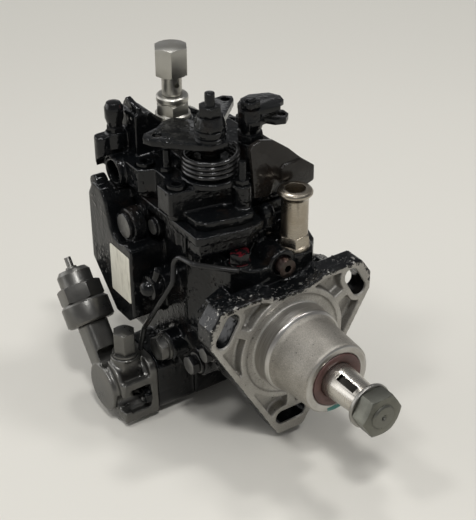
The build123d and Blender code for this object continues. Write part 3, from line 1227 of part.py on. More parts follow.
# ---------------------------------------------------------------- fittings on top
def overflow_adapter():
    base = OVERFLOW_BASE_Z
    body = turned([
        (0, -6), (OVERFLOW_STEM_R, -6), (OVERFLOW_STEM_R, 0),
        (OVERFLOW_SEAT_R, 0), (OVERFLOW_SEAT_R, 2.4), (8.4, 3.2),
        (8.4, 9.5), (8.9, 10.2), (8.9, 12.6), (8.0, 13.4), (4.1, 13.4), (4.1, -6), (0, -6),
    ])
    body += hexagon(OVERFLOW_HEX_FLATS, 6.0, 3.0) - Cylinder(6.0, 60)
    return Pos(OVERFLOW_X, OVERFLOW_Y, base) * (body - Cylinder(4.1, 60))


def overflow_bolt():
    """Hollow bolt that holds the return-line banjo."""
    seat = OVERFLOW_BASE_Z + 13.4
    hexa_height = 16.0
    stem_end = OVERFLOW_TOP_Z - hexa_height
    stem = turned([
        (0, -14), (4.0, -14), (4.0, -0.3), (OVERFLOW_STEM_R, 0), (OVERFLOW_STEM_R, stem_end - seat + 1),
        (0, stem_end - seat + 1),
    ])
    bolt = stem + hexagon(OVERFLOW_BOLT_FLATS, hexa_height, stem_end - seat)
    bolt = Pos(OVERFLOW_X, OVERFLOW_Y, seat + 0.3) * bolt
    hole_z = seat + 6.5
    return bolt - Pos(OVERFLOW_X, OVERFLOW_Y, hole_z) * Rot(90, 0, 40) * Cylinder(1.4, 20)


def inlet_tube():
    height = INLET_TOP_Z - INLET_BASE_Z
    profile = [
        (INLET_BORE_R, 0), (INLET_TUBE_R + 1.4, 0), (INLET_TUBE_R + 1.4, 2.2), (INLET_TUBE_R, 2.6),
        (INLET_TUBE_R, height - 5.5), (INLET_BEAD_R - 0.7, height - 3.4), (INLET_BEAD_R, height - 2.6),
        (INLET_BEAD_R, height - 1.6), (INLET_BEAD_R - 0.7, height - 0.6), (INLET_TUBE_R, height),
        (INLET_BORE_R, height),
    ]
    tube = turned(profile)
    nut = hexagon(INLET_HEX_FLATS, INLET_HEX_HEIGHT, 0.4) - Cylinder(INLET_BORE_R + 0.2, 50)
    return Pos(INLET_X, INLET_Y, INLET_BASE_Z) * (tube + nut)


def regulating_valve():
    """Pressure regulating valve plug, screwed in along the drive axis direction."""
    body = rod_y(VALVE_END_R, VALVE_FRONT, VALVE_REAR, VALVE_X, VALVE_Z)
    head = hexagon(9.0, VALVE_SHOULDER - VALVE_FRONT - 1.5)
    body += aim(head, (VALVE_X, VALVE_SHOULDER, VALVE_Z), (0, -1, 0))
    return body - aim(hexagon(4.0, 4.0), (VALVE_X, VALVE_FRONT - 0.01, VALVE_Z), (0, 1, 0))


def shelf_bolt():
    base = SHELF_Z + 1.5
    bolt = rod_z(3.0, base - 9, base + 1, SHELF_BOLT_X, SHELF_BOLT_Y)
    bolt += rod_z(5.9, base, base + 1.2, SHELF_BOLT_X, SHELF_BOLT_Y)
    return bolt + Pos(SHELF_BOLT_X, SHELF_BOLT_Y, base + 1.2) * hexagon(SHELF_BOLT_FLATS, 6.0)


def acorn_plug():
    dome = turned([
        (0, -2), (2.0, -2), (2.0, 0), (5.2, 0), (5.2, 1.2), (4.4, 1.3), (4.4, 8), (3.6, 10.6),
        (2.0, 12), (0, 12.4),
    ])
    return Pos(ACORN_X, ACORN_Y, CUT_BACK_Z) * (dome + hexagon(ACORN_FLATS, 5.0, 1.2))


# ---------------------------------------------------------------- timing device
def timing_bolt_places():
    spread = TIMING_BOLT_SPREAD
    steps = ((-1, -0.25), (1, -0.25), (0.25, 1), (-0.25, -1))
    return [(TIMING_Y + dy * spread, TIMING_Z + dz * spread) for dy, dz in steps]


def solenoid_direction():
    return (0, sin(radians(SOLENOID_TILT)), cos(radians(SOLENOID_TILT)))


def along_solenoid(distance):
    _, dy, dz = solenoid_direction()
    return (SOLENOID_X, TIMING_Y + dy * distance, TIMING_Z + dz * distance)


def timing_cover_left():
    """Cast cover of the timing piston; it carries the tilted solenoid on an arm."""
    plane = Plane(origin=(TIMING_LEFT, TIMING_Y, TIMING_Z), x_dir=(0, 1, 0), z_dir=(-1, 0, 0))
    cover = extrude(plane * timing_section(TIMING_HALF, TIMING_CORNER_R), TIMING_FLANGE_THICK)
    cover += rod_x(TIMING_DRUM_R, TIMING_COVER_END, TIMING_LEFT, TIMING_Y, TIMING_Z)
    cover += block(TIMING_COVER_END + 1, TIMING_LEFT, TIMING_Y - TIMING_HALF + 0.4, TIMING_Y - 6,
                   TIMING_Z - TIMING_HALF + 2, TIMING_Z + 10)
    cover += rod_x(TIMING_CAP_R, TIMING_CAP_END, TIMING_COVER_END, TIMING_Y, TIMING_Z)
    arm = Box(15, 17, SOLENOID_ARM_END - 8, align=(Align.CENTER, Align.CENTER, Align.MIN))
    arm = fillet(arm.edges().filter_by(Axis.Z), 3.5)
    cover += aim(arm, along_solenoid(8), solenoid_direction(), 90)
    cover += rod_z(8.5, TIMING_Z + 12, TIMING_Z + TIMING_HALF + 2, -65.5, TIMING_Y - 4)
    cover -= block(-71, -58, TIMING_Y - TIMING_HALF - 1, TIMING_Y - TIMING_HALF + 4.5,
                   TIMING_Z - 11, TIMING_Z + 5)
    cover -= block(-73, -60, TIMING_Y - 15, TIMING_Y - 11, TIMING_Z + 7, TIMING_Z + 20)
    for y, z in timing_bolt_places():
        cover -= rod_x(TIMING_BOLT_FLATS / 2 + 1.8, TIMING_COVER_END - 1,
                       TIMING_LEFT - TIMING_FLANGE_THICK, y, z)
        cover -= rod_x(TIMING_BOLT_R + SEAT, TIMING_COVER_END, TIMING_LEFT + 1, y, z)
    cover -= rod_x(PISTON_R - 2, TIMING_LEFT - 12, TIMING_LEFT + 1, TIMING_Y, TIMING_Z)
    cover -= rod_z(4.0 + SEAT, TIMING_Z + 14, TIMING_Z + 40, -65.5, TIMING_Y - 4)
    return cover - aim(Cylinder(5 + SEAT, 14, align=(Align.CENTER, Align.CENTER, Align.MIN)),
                       along_solenoid(SOLENOID_ARM_END - 12), solenoid_direction())


def timing_cover_right():
    plane = Plane(origin=(TIMING_RIGHT, TIMING_Y, TIMING_Z), x_dir=(0, 1, 0), z_dir=(1, 0, 0))
    cover = extrude(plane * timing_section(TIMING_HALF, TIMING_CORNER_R), RIGHT_COVER_THICK)
    cover += rod_x(11.0, TIMING_RIGHT + RIGHT_COVER_THICK - 1,
                   TIMING_RIGHT + RIGHT_COVER_THICK + 3, TIMING_Y, TIMING_Z)
    for y, z in timing_bolt_places():
        cover -= rod_x(TIMING_BOLT_R + SEAT, TIMING_RIGHT - 1, TIMING_RIGHT + 20, y, z)
        cover -= rod_x(TIMING_BOLT_FLATS / 2 + 1.8, TIMING_RIGHT + 5, TIMING_RIGHT + 20, y, z)
    return cover - rod_x(TIMING_SPRING_R + 1.5, TIMING_RIGHT - 1, TIMING_RIGHT + 3, TIMING_Y, TIMING_Z)


def timing_bolts():
    bolts = []
    for y, z in timing_bolt_places():
        left = TIMING_LEFT - TIMING_FLANGE_THICK
        screw = rod_x(TIMING_BOLT_R, left, TIMING_LEFT + 8, y, z)
        bolts.append(screw + aim(hexagon(TIMING_BOLT_FLATS, 4.0), (left, y, z), (-1, 0, 0)))
        right = TIMING_RIGHT + 5
        screw = rod_x(TIMING_BOLT_R, TIMING_RIGHT - 8, right, y, z)
        bolts.append(screw + aim(hexagon(TIMING_BOLT_FLATS, 4.0), (right, y, z), (1, 0, 0)))
    return group(bolts)


def timing_piston():
    piston = rod_x(PISTON_R, -PISTON_HALF_LENGTH, PISTON_HALF_LENGTH, TIMING_Y, TIMING_Z)
    piston -= rod_z(5.0, TIMING_Z - 2, TIMING_Z + 20, 0, TIMING_Y)
    piston -= block(-5.4, 5.4, TIMING_Y - 4, TIMING_Y + 4, TIMING_Z + 6, TIMING_Z + 20)
    return piston - rod_x(TIMING_SPRING_R + 1.5, PISTON_HALF_LENGTH - 8, PISTON_HALF_LENGTH + 1,
                          TIMING_Y, TIMING_Z)


def timing_spring():
    start = PISTON_HALF_LENGTH - 8
    length = TIMING_RIGHT + 3 - start
    spring = coil(TIMING_SPRING_R, TIMING_SPRING_WIRE_R, length, TIMING_SPRING_TURNS)
    return aim(spring, (start, TIMING_Y, TIMING_Z), (1, 0, 0))


def timing_solenoid():
    """Cold-start valve: collar, hexagon, cap and terminal stud on one axis."""
    seat = SOLENOID_ARM_END + SEAT
    body = turned([
        (0, -11), (5.0, -11), (5.0, 0), (SOLENOID_COLLAR_R - 1.2, 0), (SOLENOID_COLLAR_R, 1.2),
        (SOLENOID_COLLAR_R, SOLENOID_COLLAR_END - seat - 1.5),
        (SOLENOID_COLLAR_R - 1.5, SOLENOID_COLLAR_END - seat),
        (SOLENOID_CAP_R, SOLENOID_COLLAR_END - seat), (SOLENOID_CAP_R, SOLENOID_CAP_END - seat - 2.5),
        (SOLENOID_CAP_R - 2, SOLENOID_CAP_END - seat), (3.6, SOLENOID_CAP_END - seat),
        (3.2, SOLENOID_CAP_END - seat + 1.6), (SOLENOID_STUD_R, SOLENOID_CAP_END - seat + 1.6),
        (SOLENOID_STUD_R, SOLENOID_STUD_END - seat), (0, SOLENOID_STUD_END - seat),
    ])
    body += hexagon(SOLENOID_FLATS, SOLENOID_HEX_END - SOLENOID_COLLAR_END, SOLENOID_COLLAR_END - seat)
    return aim(body, along_solenoid(seat), solenoid_direction())


def hex_plug(flats, height, stem_r, stem_length, washer_r):
    """Hexagon-head plug on a washer; its seat is at z = 0."""
    plug = hexagon(flats, height, 1.5)
    plug += turned([(0, 0), (washer_r, 0), (washer_r, 1.6), (0, 1.6)])
    return plug + turned([(0, -stem_length), (stem_r, -stem_length), (stem_r, 0.5), (0, 0.5)])


def timing_plugs():
    top_seat = (-65.5, TIMING_Y - 4, TIMING_Z + TIMING_HALF + 2)
    top = aim(hex_plug(11.5, 14.0, 4.0, 6.0, 7.4), top_seat, (0, 0, 1))
    side = aim(hex_plug(13.0, 5.0, 4.0, 7.0, 8.2), (-46.0, BIG_PLUG_Y, BIG_PLUG_Z), (-1, 0, 0))
    return group([top, side])


# ---------------------------------------------------------------- left side pieces
def type_plate():
    sheet = block(
        PAD_FACE_X - PLATE_THICK, PAD_FACE_X, PLATE_FRONT, PLATE_REAR, PLATE_BOTTOM, PLATE_TOP,
    )
    return fillet(sheet.edges().filter_by(Axis.X), 1.2)


def side_plugs():
    """Screwed plugs of the left wall, with bare machined faces."""
    plugs = []
    ring = turned([(0, -6), (4.0, -6), (4.0, 0), (7.4, 0), (7.4, 1.6), (6.8, 2.2), (0, 2.2)])
    plugs.append(aim(ring, (RING_BOSS_FACE_X, RING_BOSS_Y, RING_BOSS_Z), (-1, 0, 0)))
    small = turned([(0, -7), (3.0, -7), (3.0, 0), (4.6, 0), (4.6, 1.0), (4.2, 1.4), (0, 1.4)])
    for y, z in SIDE_BOSSES:
        plugs.append(aim(small, (SIDE_BOSS_FACE_X, y, z), (-1, 0, 0)))
    plugs.append(aim(hex_plug(10.0, 5.0, 4.0, 6.0, 6.2), (-42.0, LOWER_PLUG_Y, LOWER_PLUG_Z), (-1, 0, 0)))
    plugs.append(aim(hex_plug(8.0, 4.0, 3.0, 5.0, 5.0), (-40.0, UPPER_PLUG_Y, UPPER_PLUG_Z), (-1, 0, 0)))
    return group(plugs)


def side_banjo():
    """Domed hollow bolt with its eye fitting on the left wall."""
    dome = turned([
        (0, -7), (4.0, -7), (4.0, 0), (7.6, 0), (7.6, 1.2), (6.6, 1.4), (6.6, 5.4), (7.0, 5.6), (7.0, 6.4),
        (5.0, 6.6), (4.6, 8.6), (3.2, 10.4), (1.4, 11.2), (0, 11.4),
    ])
    bolt = aim(dome, (BANJO_BOSS_FACE_X, BANJO_Y, BANJO_Z), (-1, 0, 0))
    stub = aim(Cylinder(2.2, 13, align=(Align.CENTER, Align.CENTER, Align.MIN)),
               (BANJO_BOSS_FACE_X - 3.4, BANJO_Y - 1, BANJO_Z + 2), (0, -0.45, 1))
    return bolt + stub


def leak_pipe():
    """Thin steel pipe from the front shelf down to the timing cover."""
    path = FilletPolyline(*PIPE_POINTS, radius=list(PIPE_BENDS))
    section = Plane(origin=path @ 0, z_dir=path % 0) * Circle(PIPE_R)
    return sweep(section, path=path)


PARTS = {
    "pump_housing": pump_housing,
    "shaft_seal": shaft_seal,
    "drive_bush": drive_bush,
    "drive_shaft": drive_shaft,
    "shaft_washer": shaft_washer,
    "drive_nut": drive_nut,
    "vane_pump_ring": vane_pump_ring,
    "vane_pump_cover": vane_pump_cover,
    "vane_rotor": vane_rotor,
    "pump_vanes": pump_vanes,
    "drive_gear": drive_gear,
    "governor_gear": governor_gear,
    "governor_shaft": governor_shaft,
    "governor_sleeve": governor_sleeve,
    "governor_lever": governor_lever,
    "cross_disc": cross_disc,
    "cam_disc": cam_disc,
    "roller_ring": roller_ring,
    "cam_rollers": cam_rollers,
    "plunger": plunger,
    "control_collar": control_collar,
    "plunger_springs": plunger_springs,
    "distributor_head": distributor_head,
    "head_bolts": head_bolts,
    "delivery_valve_holders": delivery_valve_holders,
    "head_centre_plug": head_centre_plug,
    "shutoff_solenoid": shutoff_solenoid,
    "governor_cover": governor_cover,
    "cover_bolts": cover_bolts,
    "full_load_screw": full_load_screw,
    "capped_adjuster": capped_adjuster,
    "throttle_shaft": throttle_shaft,
    "throttle_lever": throttle_lever,
    "throttle_nut": throttle_nut,
    "return_spring": return_spring,
    "stop_lever": stop_lever,
    "stop_nut": stop_nut,
    "stop_screws": stop_screws,
    "cable_bracket": cable_bracket,
    "overflow_adapter": overflow_adapter,
    "overflow_bolt": overflow_bolt,
    "inlet_tube": inlet_tube,
    "regulating_valve": regulating_valve,
    "shelf_bolt": shelf_bolt,
    "acorn_plug": acorn_plug,
    "timing_cover_left": timing_cover_left,
    "timing_cover_right": timing_cover_right,
    "timing_bolts": timing_bolts,
    "timing_piston": timing_piston,
    "timing_spring": timing_spring,
    "timing_solenoid": timing_solenoid,
    "timing_plugs": timing_plugs,
    "type_plate": type_plate,
    "side_plugs": side_plugs,
    "side_banjo": side_banjo,
    "leak_pipe": leak_pipe,
}


def main():
    os.makedirs("parts", exist_ok=True)
    for name, make in PARTS.items():
        export_step(make(), f"parts/{name}.step")
    for index, angle in enumerate(around(WEIGHT_COUNT, 45), start=1):
        export_step(flyweight(angle), f"parts/flyweight_{index}.step")


main()
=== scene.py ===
"""Looks of a rotary diesel injection pump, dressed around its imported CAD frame.

Everything is in metres in the row frame: the origin is on the drive axis at the
mounting flange, +Y runs to the outlets, +X is right seen from the drive end, +Z is up.
"""
import json
import math
import random

import bmesh
import bpy
import numpy as np
from mathutils import Matrix, Vector

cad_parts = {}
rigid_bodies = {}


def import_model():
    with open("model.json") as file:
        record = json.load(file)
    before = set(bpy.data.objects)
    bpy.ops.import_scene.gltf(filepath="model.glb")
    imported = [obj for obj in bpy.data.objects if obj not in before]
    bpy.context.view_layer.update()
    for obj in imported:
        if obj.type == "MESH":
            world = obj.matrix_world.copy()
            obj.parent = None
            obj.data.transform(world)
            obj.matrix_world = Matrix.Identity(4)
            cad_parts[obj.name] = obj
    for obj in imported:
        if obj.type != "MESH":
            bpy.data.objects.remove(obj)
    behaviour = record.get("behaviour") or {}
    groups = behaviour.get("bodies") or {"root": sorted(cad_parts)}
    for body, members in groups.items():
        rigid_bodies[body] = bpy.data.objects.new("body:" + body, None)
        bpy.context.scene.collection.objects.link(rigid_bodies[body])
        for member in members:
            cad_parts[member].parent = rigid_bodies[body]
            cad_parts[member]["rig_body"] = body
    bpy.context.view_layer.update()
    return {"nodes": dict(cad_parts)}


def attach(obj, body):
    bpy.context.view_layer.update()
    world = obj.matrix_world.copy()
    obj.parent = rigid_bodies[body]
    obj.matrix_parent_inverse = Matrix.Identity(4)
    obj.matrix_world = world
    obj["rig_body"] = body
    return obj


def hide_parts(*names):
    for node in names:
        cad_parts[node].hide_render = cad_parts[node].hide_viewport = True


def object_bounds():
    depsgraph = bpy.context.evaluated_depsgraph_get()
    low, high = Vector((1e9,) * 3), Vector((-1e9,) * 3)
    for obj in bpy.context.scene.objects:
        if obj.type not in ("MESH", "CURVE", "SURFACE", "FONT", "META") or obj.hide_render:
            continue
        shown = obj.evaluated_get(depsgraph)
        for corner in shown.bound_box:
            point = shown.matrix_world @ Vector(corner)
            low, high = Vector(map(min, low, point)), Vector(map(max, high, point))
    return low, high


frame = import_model()
MM = 0.001
TO_MM = 1000.0

# ---------------------------------------------------------------- camera
CAMERA_PLACE = (-0.325615, -0.425718, 0.387666)
CAMERA_BACK = (-0.4773, -0.7013, 0.5295)
CAMERA_RIGHT = (0.8267, -0.5626, 0.0)
CAMERA_ROLL = math.radians(-0.215)
CAMERA_LENS_MM = 83.95
CAMERA_SENSOR_MM = 36
CAMERA_REACH = (0.01, 50)

# ---------------------------------------------------------------- sizes of the dressing
CAST_VOXEL = 0.62 * MM
CAST_SMOOTHING = 6
WELD_REACH = 0.002 * MM
EDGE_ROUND = 0.35 * MM
EDGE_SEGMENTS = 2
EDGE_ANGLE = math.radians(32)
FLAT_ANGLE = math.radians(0.6)
FITTING_CREASE = math.radians(40)
INNER_CREASE = math.radians(35)
BEAD_HEIGHT = 0.62
BEAD_SINK = 0.1
BEAD_STRETCH = (0.8, 1.3)

# ---------------------------------------------------------------- paint, shared by several materials
PAINT_BLACK = (0.0030, 0.0034, 0.0039)
FITTING_BLACK = (0.0048, 0.0048, 0.0052)
DUST_TONE = (0.026, 0.024, 0.021)
# brownish patches in the black paint: a painted reflection of brownish surroundings
BROWN_REFLECTION = (0.020, 0.012, 0.008)
WORN_TONE = (0.05, 0.048, 0.045)
RED_MARK = (0.060, 0.005, 0.008)
PAINT_ROUGHNESS = ((0.3, 0.11), (0.55, 0.18), (0.8, 0.34))
PAINT_IOR = 1.37

# ---------------------------------------------------------------- stage and light
FLOOR_TONE = (0.665, 0.645, 0.59)
FAR_TONE = (0.595, 0.585, 0.535)
FLOOR_HALF = 6.0
FLOOR_FADE = (0.45, 1.25)
WORLD_BANDS = ((0.0, 0.60), (0.12, 0.46), (0.35, 0.17), (0.75, 0.18), (1.0, 0.45))
SKY_BLUENESS = 1.01
WINDOW_TOWARD = (-0.66, 0.74, 0.10)
WINDOW_EDGE = (0.72, 0.97)
WINDOW_GLOW = 2.0
LAMP_SIZE = 0.18
LAMP_AIM = (0, 0.04, 0)
CEILING_LAMPS = (
    ("lamp_front", (-0.35, -0.60, 1.35), 8.5),
    ("lamp_right", (0.60, -0.25, 1.30), 4.8),
    ("lamp_back", (0.15, 0.60, 1.35), 3.6),
    ("lamp_left", (-0.75, 0.10, 1.30), 3.6),
)

# ---------------------------------------------------------------- the bare drive end, in mm
FLANGE_SIDE = ((53, 27.5), (53, 17), (13.5, -52), (8.5, -60))
FLANGE_TOP = ((10, 33.6), (20, 37.5), (46, 37.5))
SLOT_ANGLES = (150, 30, -90)
SLOT_CIRCLE = 48.6
SLOT_HALF_WIDTH = 4.45
SLOT_REACH = 5.8
SLOT_MARGIN = 0.4
SLOT_BARE_DEPTH = 1.2
# inset given to deep slot walls, which colours them black as painted shade
SLOT_SHADE_INSET = -9
BARE_DEPTH = 9.5
NOSE_END = 39.0
PILOT_LENGTH = 10.4
PILOT_RADIUS = 25.0
BARE_METALLIC = 0.92
TEAL_DAB = ((-6.0, 3.5), (-21.0, -16.5))
TEAL_TONE = (0.03, 0.17, 0.155)
SHAFT_RADIUS = 10.0
TAPER_FROM, TAPER_TO = 42.0, 63.5
TAPER_DROP = 1.6


# ---------------------------------------------------------------- node helpers
# Blender numbers the Mix node's sockets: factor, A, B and the result.
MIX_SOCKETS = {"RGBA": (0, 6, 7, 2), "VECTOR": (0, 4, 5, 1)}


class Nodes:
    """A node tree with short calls to add and join nodes."""

    def __init__(self, tree, place):
        self.tree = tree
        self.place = self.add("TexCoord").outputs[place]

    def add(self, kind):
        return self.tree.nodes.new("ShaderNode" + kind)

    def join(self, out, into):
        self.tree.links.new(out, into)

    def noise(self, scale, detail=4.0, rough=0.55, stretch=None, seed=0.0):
        vector = self.place
        if stretch or seed:
            mapping = self.add("Mapping")
            mapping.inputs["Location"].default_value = (seed, seed * 0.7, seed * 1.3)
            mapping.inputs["Scale"].default_value = stretch or (1, 1, 1)
            self.join(vector, mapping.inputs["Vector"])
            vector = mapping.outputs[0]
        node = self.add("TexNoise")
        node.inputs["Scale"].default_value = scale
        node.inputs["Detail"].default_value = detail
        node.inputs["Roughness"].default_value = rough
        self.join(vector, node.inputs["Vector"])
        return node.outputs["Fac"]

    def cells(self, scale, smooth=0.0):
        node = self.add("TexVoronoi")
        node.inputs["Scale"].default_value = scale
        if smooth:
            node.feature = "SMOOTH_F1"
            node.inputs["Smoothness"].default_value = smooth
        self.join(self.place, node.inputs["Vector"])
        return node.outputs["Distance"]

    def ramp(self, value, stops):
        """A colour ramp; a stop is (position, grey) or (position, (r, g, b))."""
        node = self.add("ValToRGB")
        elements = node.color_ramp.elements
        while len(elements) < len(stops):
            elements.new(0.5)
        for element, (position, colour) in zip(elements, stops):
            element.position = position
            rgb = (colour,) * 3 if isinstance(colour, (int, float)) else colour
            element.color = (*rgb, 1.0)
        self.join(value, node.inputs["Fac"])
        return node.outputs["Color"]

    def math(self, operation, a, b=None):
        node = self.add("Math")
        node.operation = operation
        for socket, value in zip(node.inputs, (a, b)):
            if value is None:
                continue
            if isinstance(value, (int, float)):
                socket.default_value = value
            else:
                self.join(value, socket)
        return node.outputs[0]

    def times(self, *values):
        product = values[0]
        for value in values[1:]:
            product = self.math("MULTIPLY", product, value)
        return product

    def mix(self, factor, a, b, kind="MIX", data="RGBA"):
        node = self.add("Mix")
        node.data_type = data
        node.blend_type = kind
        *inputs, result = MIX_SOCKETS[data]
        for index, value in zip(inputs, (factor, a, b)):
            socket = node.inputs[index]
            if isinstance(value, (int, float)):
                socket.default_value = value
            elif isinstance(value, tuple):
                socket.default_value = (*value, 1.0)
            else:
                self.join(value, socket)
        return node.outputs[result]

    def attribute(self, name):
        node = self.add("Attribute")
        node.attribute_name = name
        return node.outputs["Fac"]

    def step(self, value, low, high):
        """0 below low, 1 above high, straight between."""
        node = self.add("MapRange")
        node.inputs["From Min"].default_value = low
        node.inputs["From Max"].default_value = high
        self.join(value, node.inputs["Value"])
        return node.outputs["Result"]

    def edges(self, low, high):
        """White on edges that stand out, from the mesh's pointiness."""
        pointiness = self.add("NewGeometry").outputs["Pointiness"]
        return self.ramp(pointiness, [(low, 0.0), (high, 1.0)])

    def split(self, vector):
        node = self.add("SeparateXYZ")
        self.join(vector, node.inputs[0])
        return node.outputs

    def axis(self, name, scale=TO_MM):
        """Place along one axis, in mm."""
        return self.times(self.split(self.place)[name], scale)

    def facing(self, name):
        """How far the surface faces one axis, from -1 to 1."""
        return self.split(self.add("NewGeometry").outputs["True Normal"])[name]

    def radius(self):
        """Distance from the drive axis, in mm."""
        x, z = self.axis("X"), self.axis("Z")
        return self.math("SQRT", self.math("ADD", self.times(x, x), self.times(z, z)))

    def measure(self, operation, vector=(0, 0, 0)):
        """A number for each place: its LENGTH, or its DOT_PRODUCT with a fixed vector."""
        node = self.add("VectorMath")
        node.operation = operation
        node.inputs[1].default_value = vector
        self.join(self.place, node.inputs[0])
        return node.outputs["Value"]

    def spread(self, noise, reach):
        """The noise, centred on nought and reach wide."""
        return self.times(self.math("SUBTRACT", noise, 0.5), reach)

    def bump(self, height, strength, distance, below=None):
        node = self.add("Bump")
        node.inputs["Strength"].default_value = strength
        node.inputs["Distance"].default_value = distance
        self.join(height, node.inputs["Height"])
        if below is not None:
            self.join(below, node.inputs["Normal"])
        return node.outputs[0]


class Surface(Nodes):
    """A material whose tree ends in one Principled shader."""

    def __init__(self, name):
        self.material = bpy.data.materials.new(name)
        self.material.use_nodes = True
        self.material.node_tree.nodes.clear()
        super().__init__(self.material.node_tree, "Object")
        self.output = self.add("OutputMaterial")
        self.shader = self.add("BsdfPrincipled")
        self.join(self.shader.outputs[0], self.output.inputs["Surface"])

    def set(self, **values):
        """Set sockets of the shader: a number or colour directly, anything else by a link."""
        for key, value in values.items():
            socket = self.shader.inputs[key.replace("_", " ")]
            if isinstance(value, (int, float)):
                socket.default_value = value
            elif isinstance(value, tuple):
                socket.default_value = (*value, 1.0)
            else:
                self.join(value, socket)


# ---------------------------------------------------------------- materials
def paint_skin(n, depth=1.0):
    """Normal of thickly brushed paint: sags, lumps and fine grit."""
    sags = n.bump(n.noise(95, 3, 0.5, stretch=(1, 1, 0.45), seed=1.0), 0.5 * depth, 0.0011)
    wet = n.step(n.noise(60, 3, 0.5, seed=12.0), 0.42, 0.60)
    drops = n.times(n.ramp(n.cells(330, 0.5), [(0.05, 1.0), (0.42, 0.0)]), wet)
    lumps = n.bump(n.noise(400, 3, 0.55, seed=5.0), 0.38 * depth, 0.0004, sags)
    beads = n.bump(drops, 0.75 * depth, 0.0005, lumps)
    return n.bump(n.noise(1300, 2, 0.6, seed=3.0), 0.25 * depth, 0.00012, beads)


def paint_colour_and_reflection(n, tone, dust):
    """Black with dusty patches, and faint brownish patches that are a painted reflection."""
    patches = n.noise(34, 5, 0.6)
    dusty = n.times(n.ramp(patches, [(0.48, 0.0), (0.78, 1.0)]), dust)
    colour = n.mix(dusty, tone, DUST_TONE)
    # Faint brownish patches: a painted reflection, not a tint of the paint.
    brown_reflection = n.times(n.ramp(n.noise(70, 3, 0.6, seed=11.0), [(0.58, 0.0), (0.74, 1.0)]), 0.4)
    return n.mix(brown_reflection, colour, BROWN_REFLECTION), patches


def gloss_paint(name, tone=PAINT_BLACK, dust=0.3, depth=1.0):
    """Thick wet-looking black paint brushed over a casting, with a little dust."""
    n = Surface(name)
    colour, patches = paint_colour_and_reflection(n, tone, dust)
    chips = n.ramp(n.noise(130, 4, 0.7, seed=8.0), [(0.5, 0.0), (0.7, 1.0)])
    worn = n.times(n.edges(0.56, 0.64), chips, 0.3)
    n.set(Base_Color=n.mix(worn, colour, WORN_TONE), IOR=PAINT_IOR)
    n.set(Roughness=n.ramp(patches, PAINT_ROUGHNESS), Normal=paint_skin(n, depth))
    return n.material


def satin_black(name, tone=(0.105, 0.104, 0.099), rough=0.32):
    """Satin grey-black coat of the timing cover and the solenoid."""
    n = Surface(name)
    patches = n.noise(60, 5, 0.6)
    colour = n.mix(n.ramp(patches, [(0.35, 0.0), (0.75, 0.7)]), tone, (0.19, 0.182, 0.165))
    worn = n.times(n.edges(0.54, 0.62), 0.4)
    n.set(Base_Color=n.mix(worn, colour, (0.34, 0.33, 0.30)))
    n.set(Roughness=n.ramp(patches, [(0.25, rough - 0.08), (0.8, rough + 0.12)]), Metallic=0.85)
    grain = n.bump(n.noise(700, 4, 0.6, seed=2.0), 0.22, 0.0002)
    n.set(Normal=n.bump(n.noise(120, 3, 0.5, seed=4.0), 0.3, 0.0006, grain))
    return n.material


def steel(name, tone, rough=0.24, ring_axis="Y", marks=0.05, warm=None):
    """Turned or ground steel; fine rings run round the turning axis."""
    n = Surface(name)
    colour, roughness, rings = steel_surface(n, tone, rough, ring_axis, warm)
    n.set(Base_Color=colour, Metallic=1.0, Roughness=roughness, Normal=n.bump(rings, marks, 0.0001))
    return n.material


def steel_surface(n, tone, rough, ring_axis, warm=None):
    """Stained colour, roughness and the rings left by turning."""
    stretch = {"Y": (1, 60, 1), "Z": (1, 1, 60)}[ring_axis]
    rings = n.noise(60, 3, 0.6, stretch=stretch)
    stain = n.noise(70, 4, 0.6, seed=6.0)
    dark = tuple(c * 0.55 for c in tone)
    colour = n.mix(n.ramp(stain, [(0.42, 0.0), (0.78, 0.8)]), tone, warm or dark)
    roughness = n.math("ADD", n.ramp(rings, [(0.3, rough - 0.04), (0.7, rough + 0.06)]),
                       n.ramp(stain, [(0.5, 0.0), (0.9, 0.15)]))
    return colour, roughness, rings


def drive_shaft(name):
    """Ground taper with its key slot coloured near black as painted shade; the threaded end is as dull
    as the nut.
    """
    n = Surface(name)
    colour, roughness, rings = steel_surface(n, (0.50, 0.475, 0.43), 0.24, "Y", (0.27, 0.24, 0.20))
    along = n.axis("Y", -TO_MM)
    surface = n.math("SUBTRACT", SHAFT_RADIUS, n.times(n.step(along, TAPER_FROM, TAPER_TO), TAPER_DROP))
    sunk = n.step(n.math("SUBTRACT", surface, n.radius()), 0.25, 0.45)
    # Painted shade: the key slot is coloured near black.
    shaded_slot = n.times(sunk, n.step(along, TAPER_TO - 0.2, TAPER_TO - 0.6))
    threaded = n.step(along, TAPER_TO + 0.2, TAPER_TO + 0.6)
    colour = n.mix(shaded_slot, colour, (0.035, 0.032, 0.028))
    n.set(Base_Color=n.mix(threaded, colour, (0.155, 0.155, 0.135)), Metallic=0.95)
    dull = n.math("MAXIMUM", shaded_slot, threaded)
    n.set(Roughness=n.mix(dull, roughness, (0.42, 0.42, 0.42)), Normal=n.bump(rings, 0.04, 0.0001))
    return n.material


def bare_cast(n):
    """Colour, roughness and pits of sand-grey bare cast aluminium."""
    blotch = n.noise(55, 5, 0.6)
    greys = [(0.25, (0.31, 0.298, 0.275)), (0.5, (0.42, 0.405, 0.375)), (0.75, (0.50, 0.485, 0.455))]
    colour = n.ramp(blotch, greys)
    grain = n.ramp(n.noise(1500, 2, 0.7, seed=14.0), [(0.3, 0.72), (0.7, 1.12)])
    nose = n.step(n.axis("Y", -TO_MM), PILOT_LENGTH, PILOT_LENGTH + 0.4)
    shade = n.mix(nose, (1.0, 1.0, 1.0), (0.80, 0.78, 0.745))
    colour = n.mix(1.0, n.mix(1.0, colour, grain, "MULTIPLY"), shade, "MULTIPLY")
    pits = n.ramp(n.noise(520, 3, 0.6, seed=9.0), [(0.28, 0.0), (0.36, 1.0)])
    colour = n.mix(pits, (0.14, 0.132, 0.12), colour)
    rough = n.ramp(blotch, [(0.3, 0.60), (0.7, 0.50)])
    return colour, rough, n.math("ADD", pits, n.times(grain, 0.6))


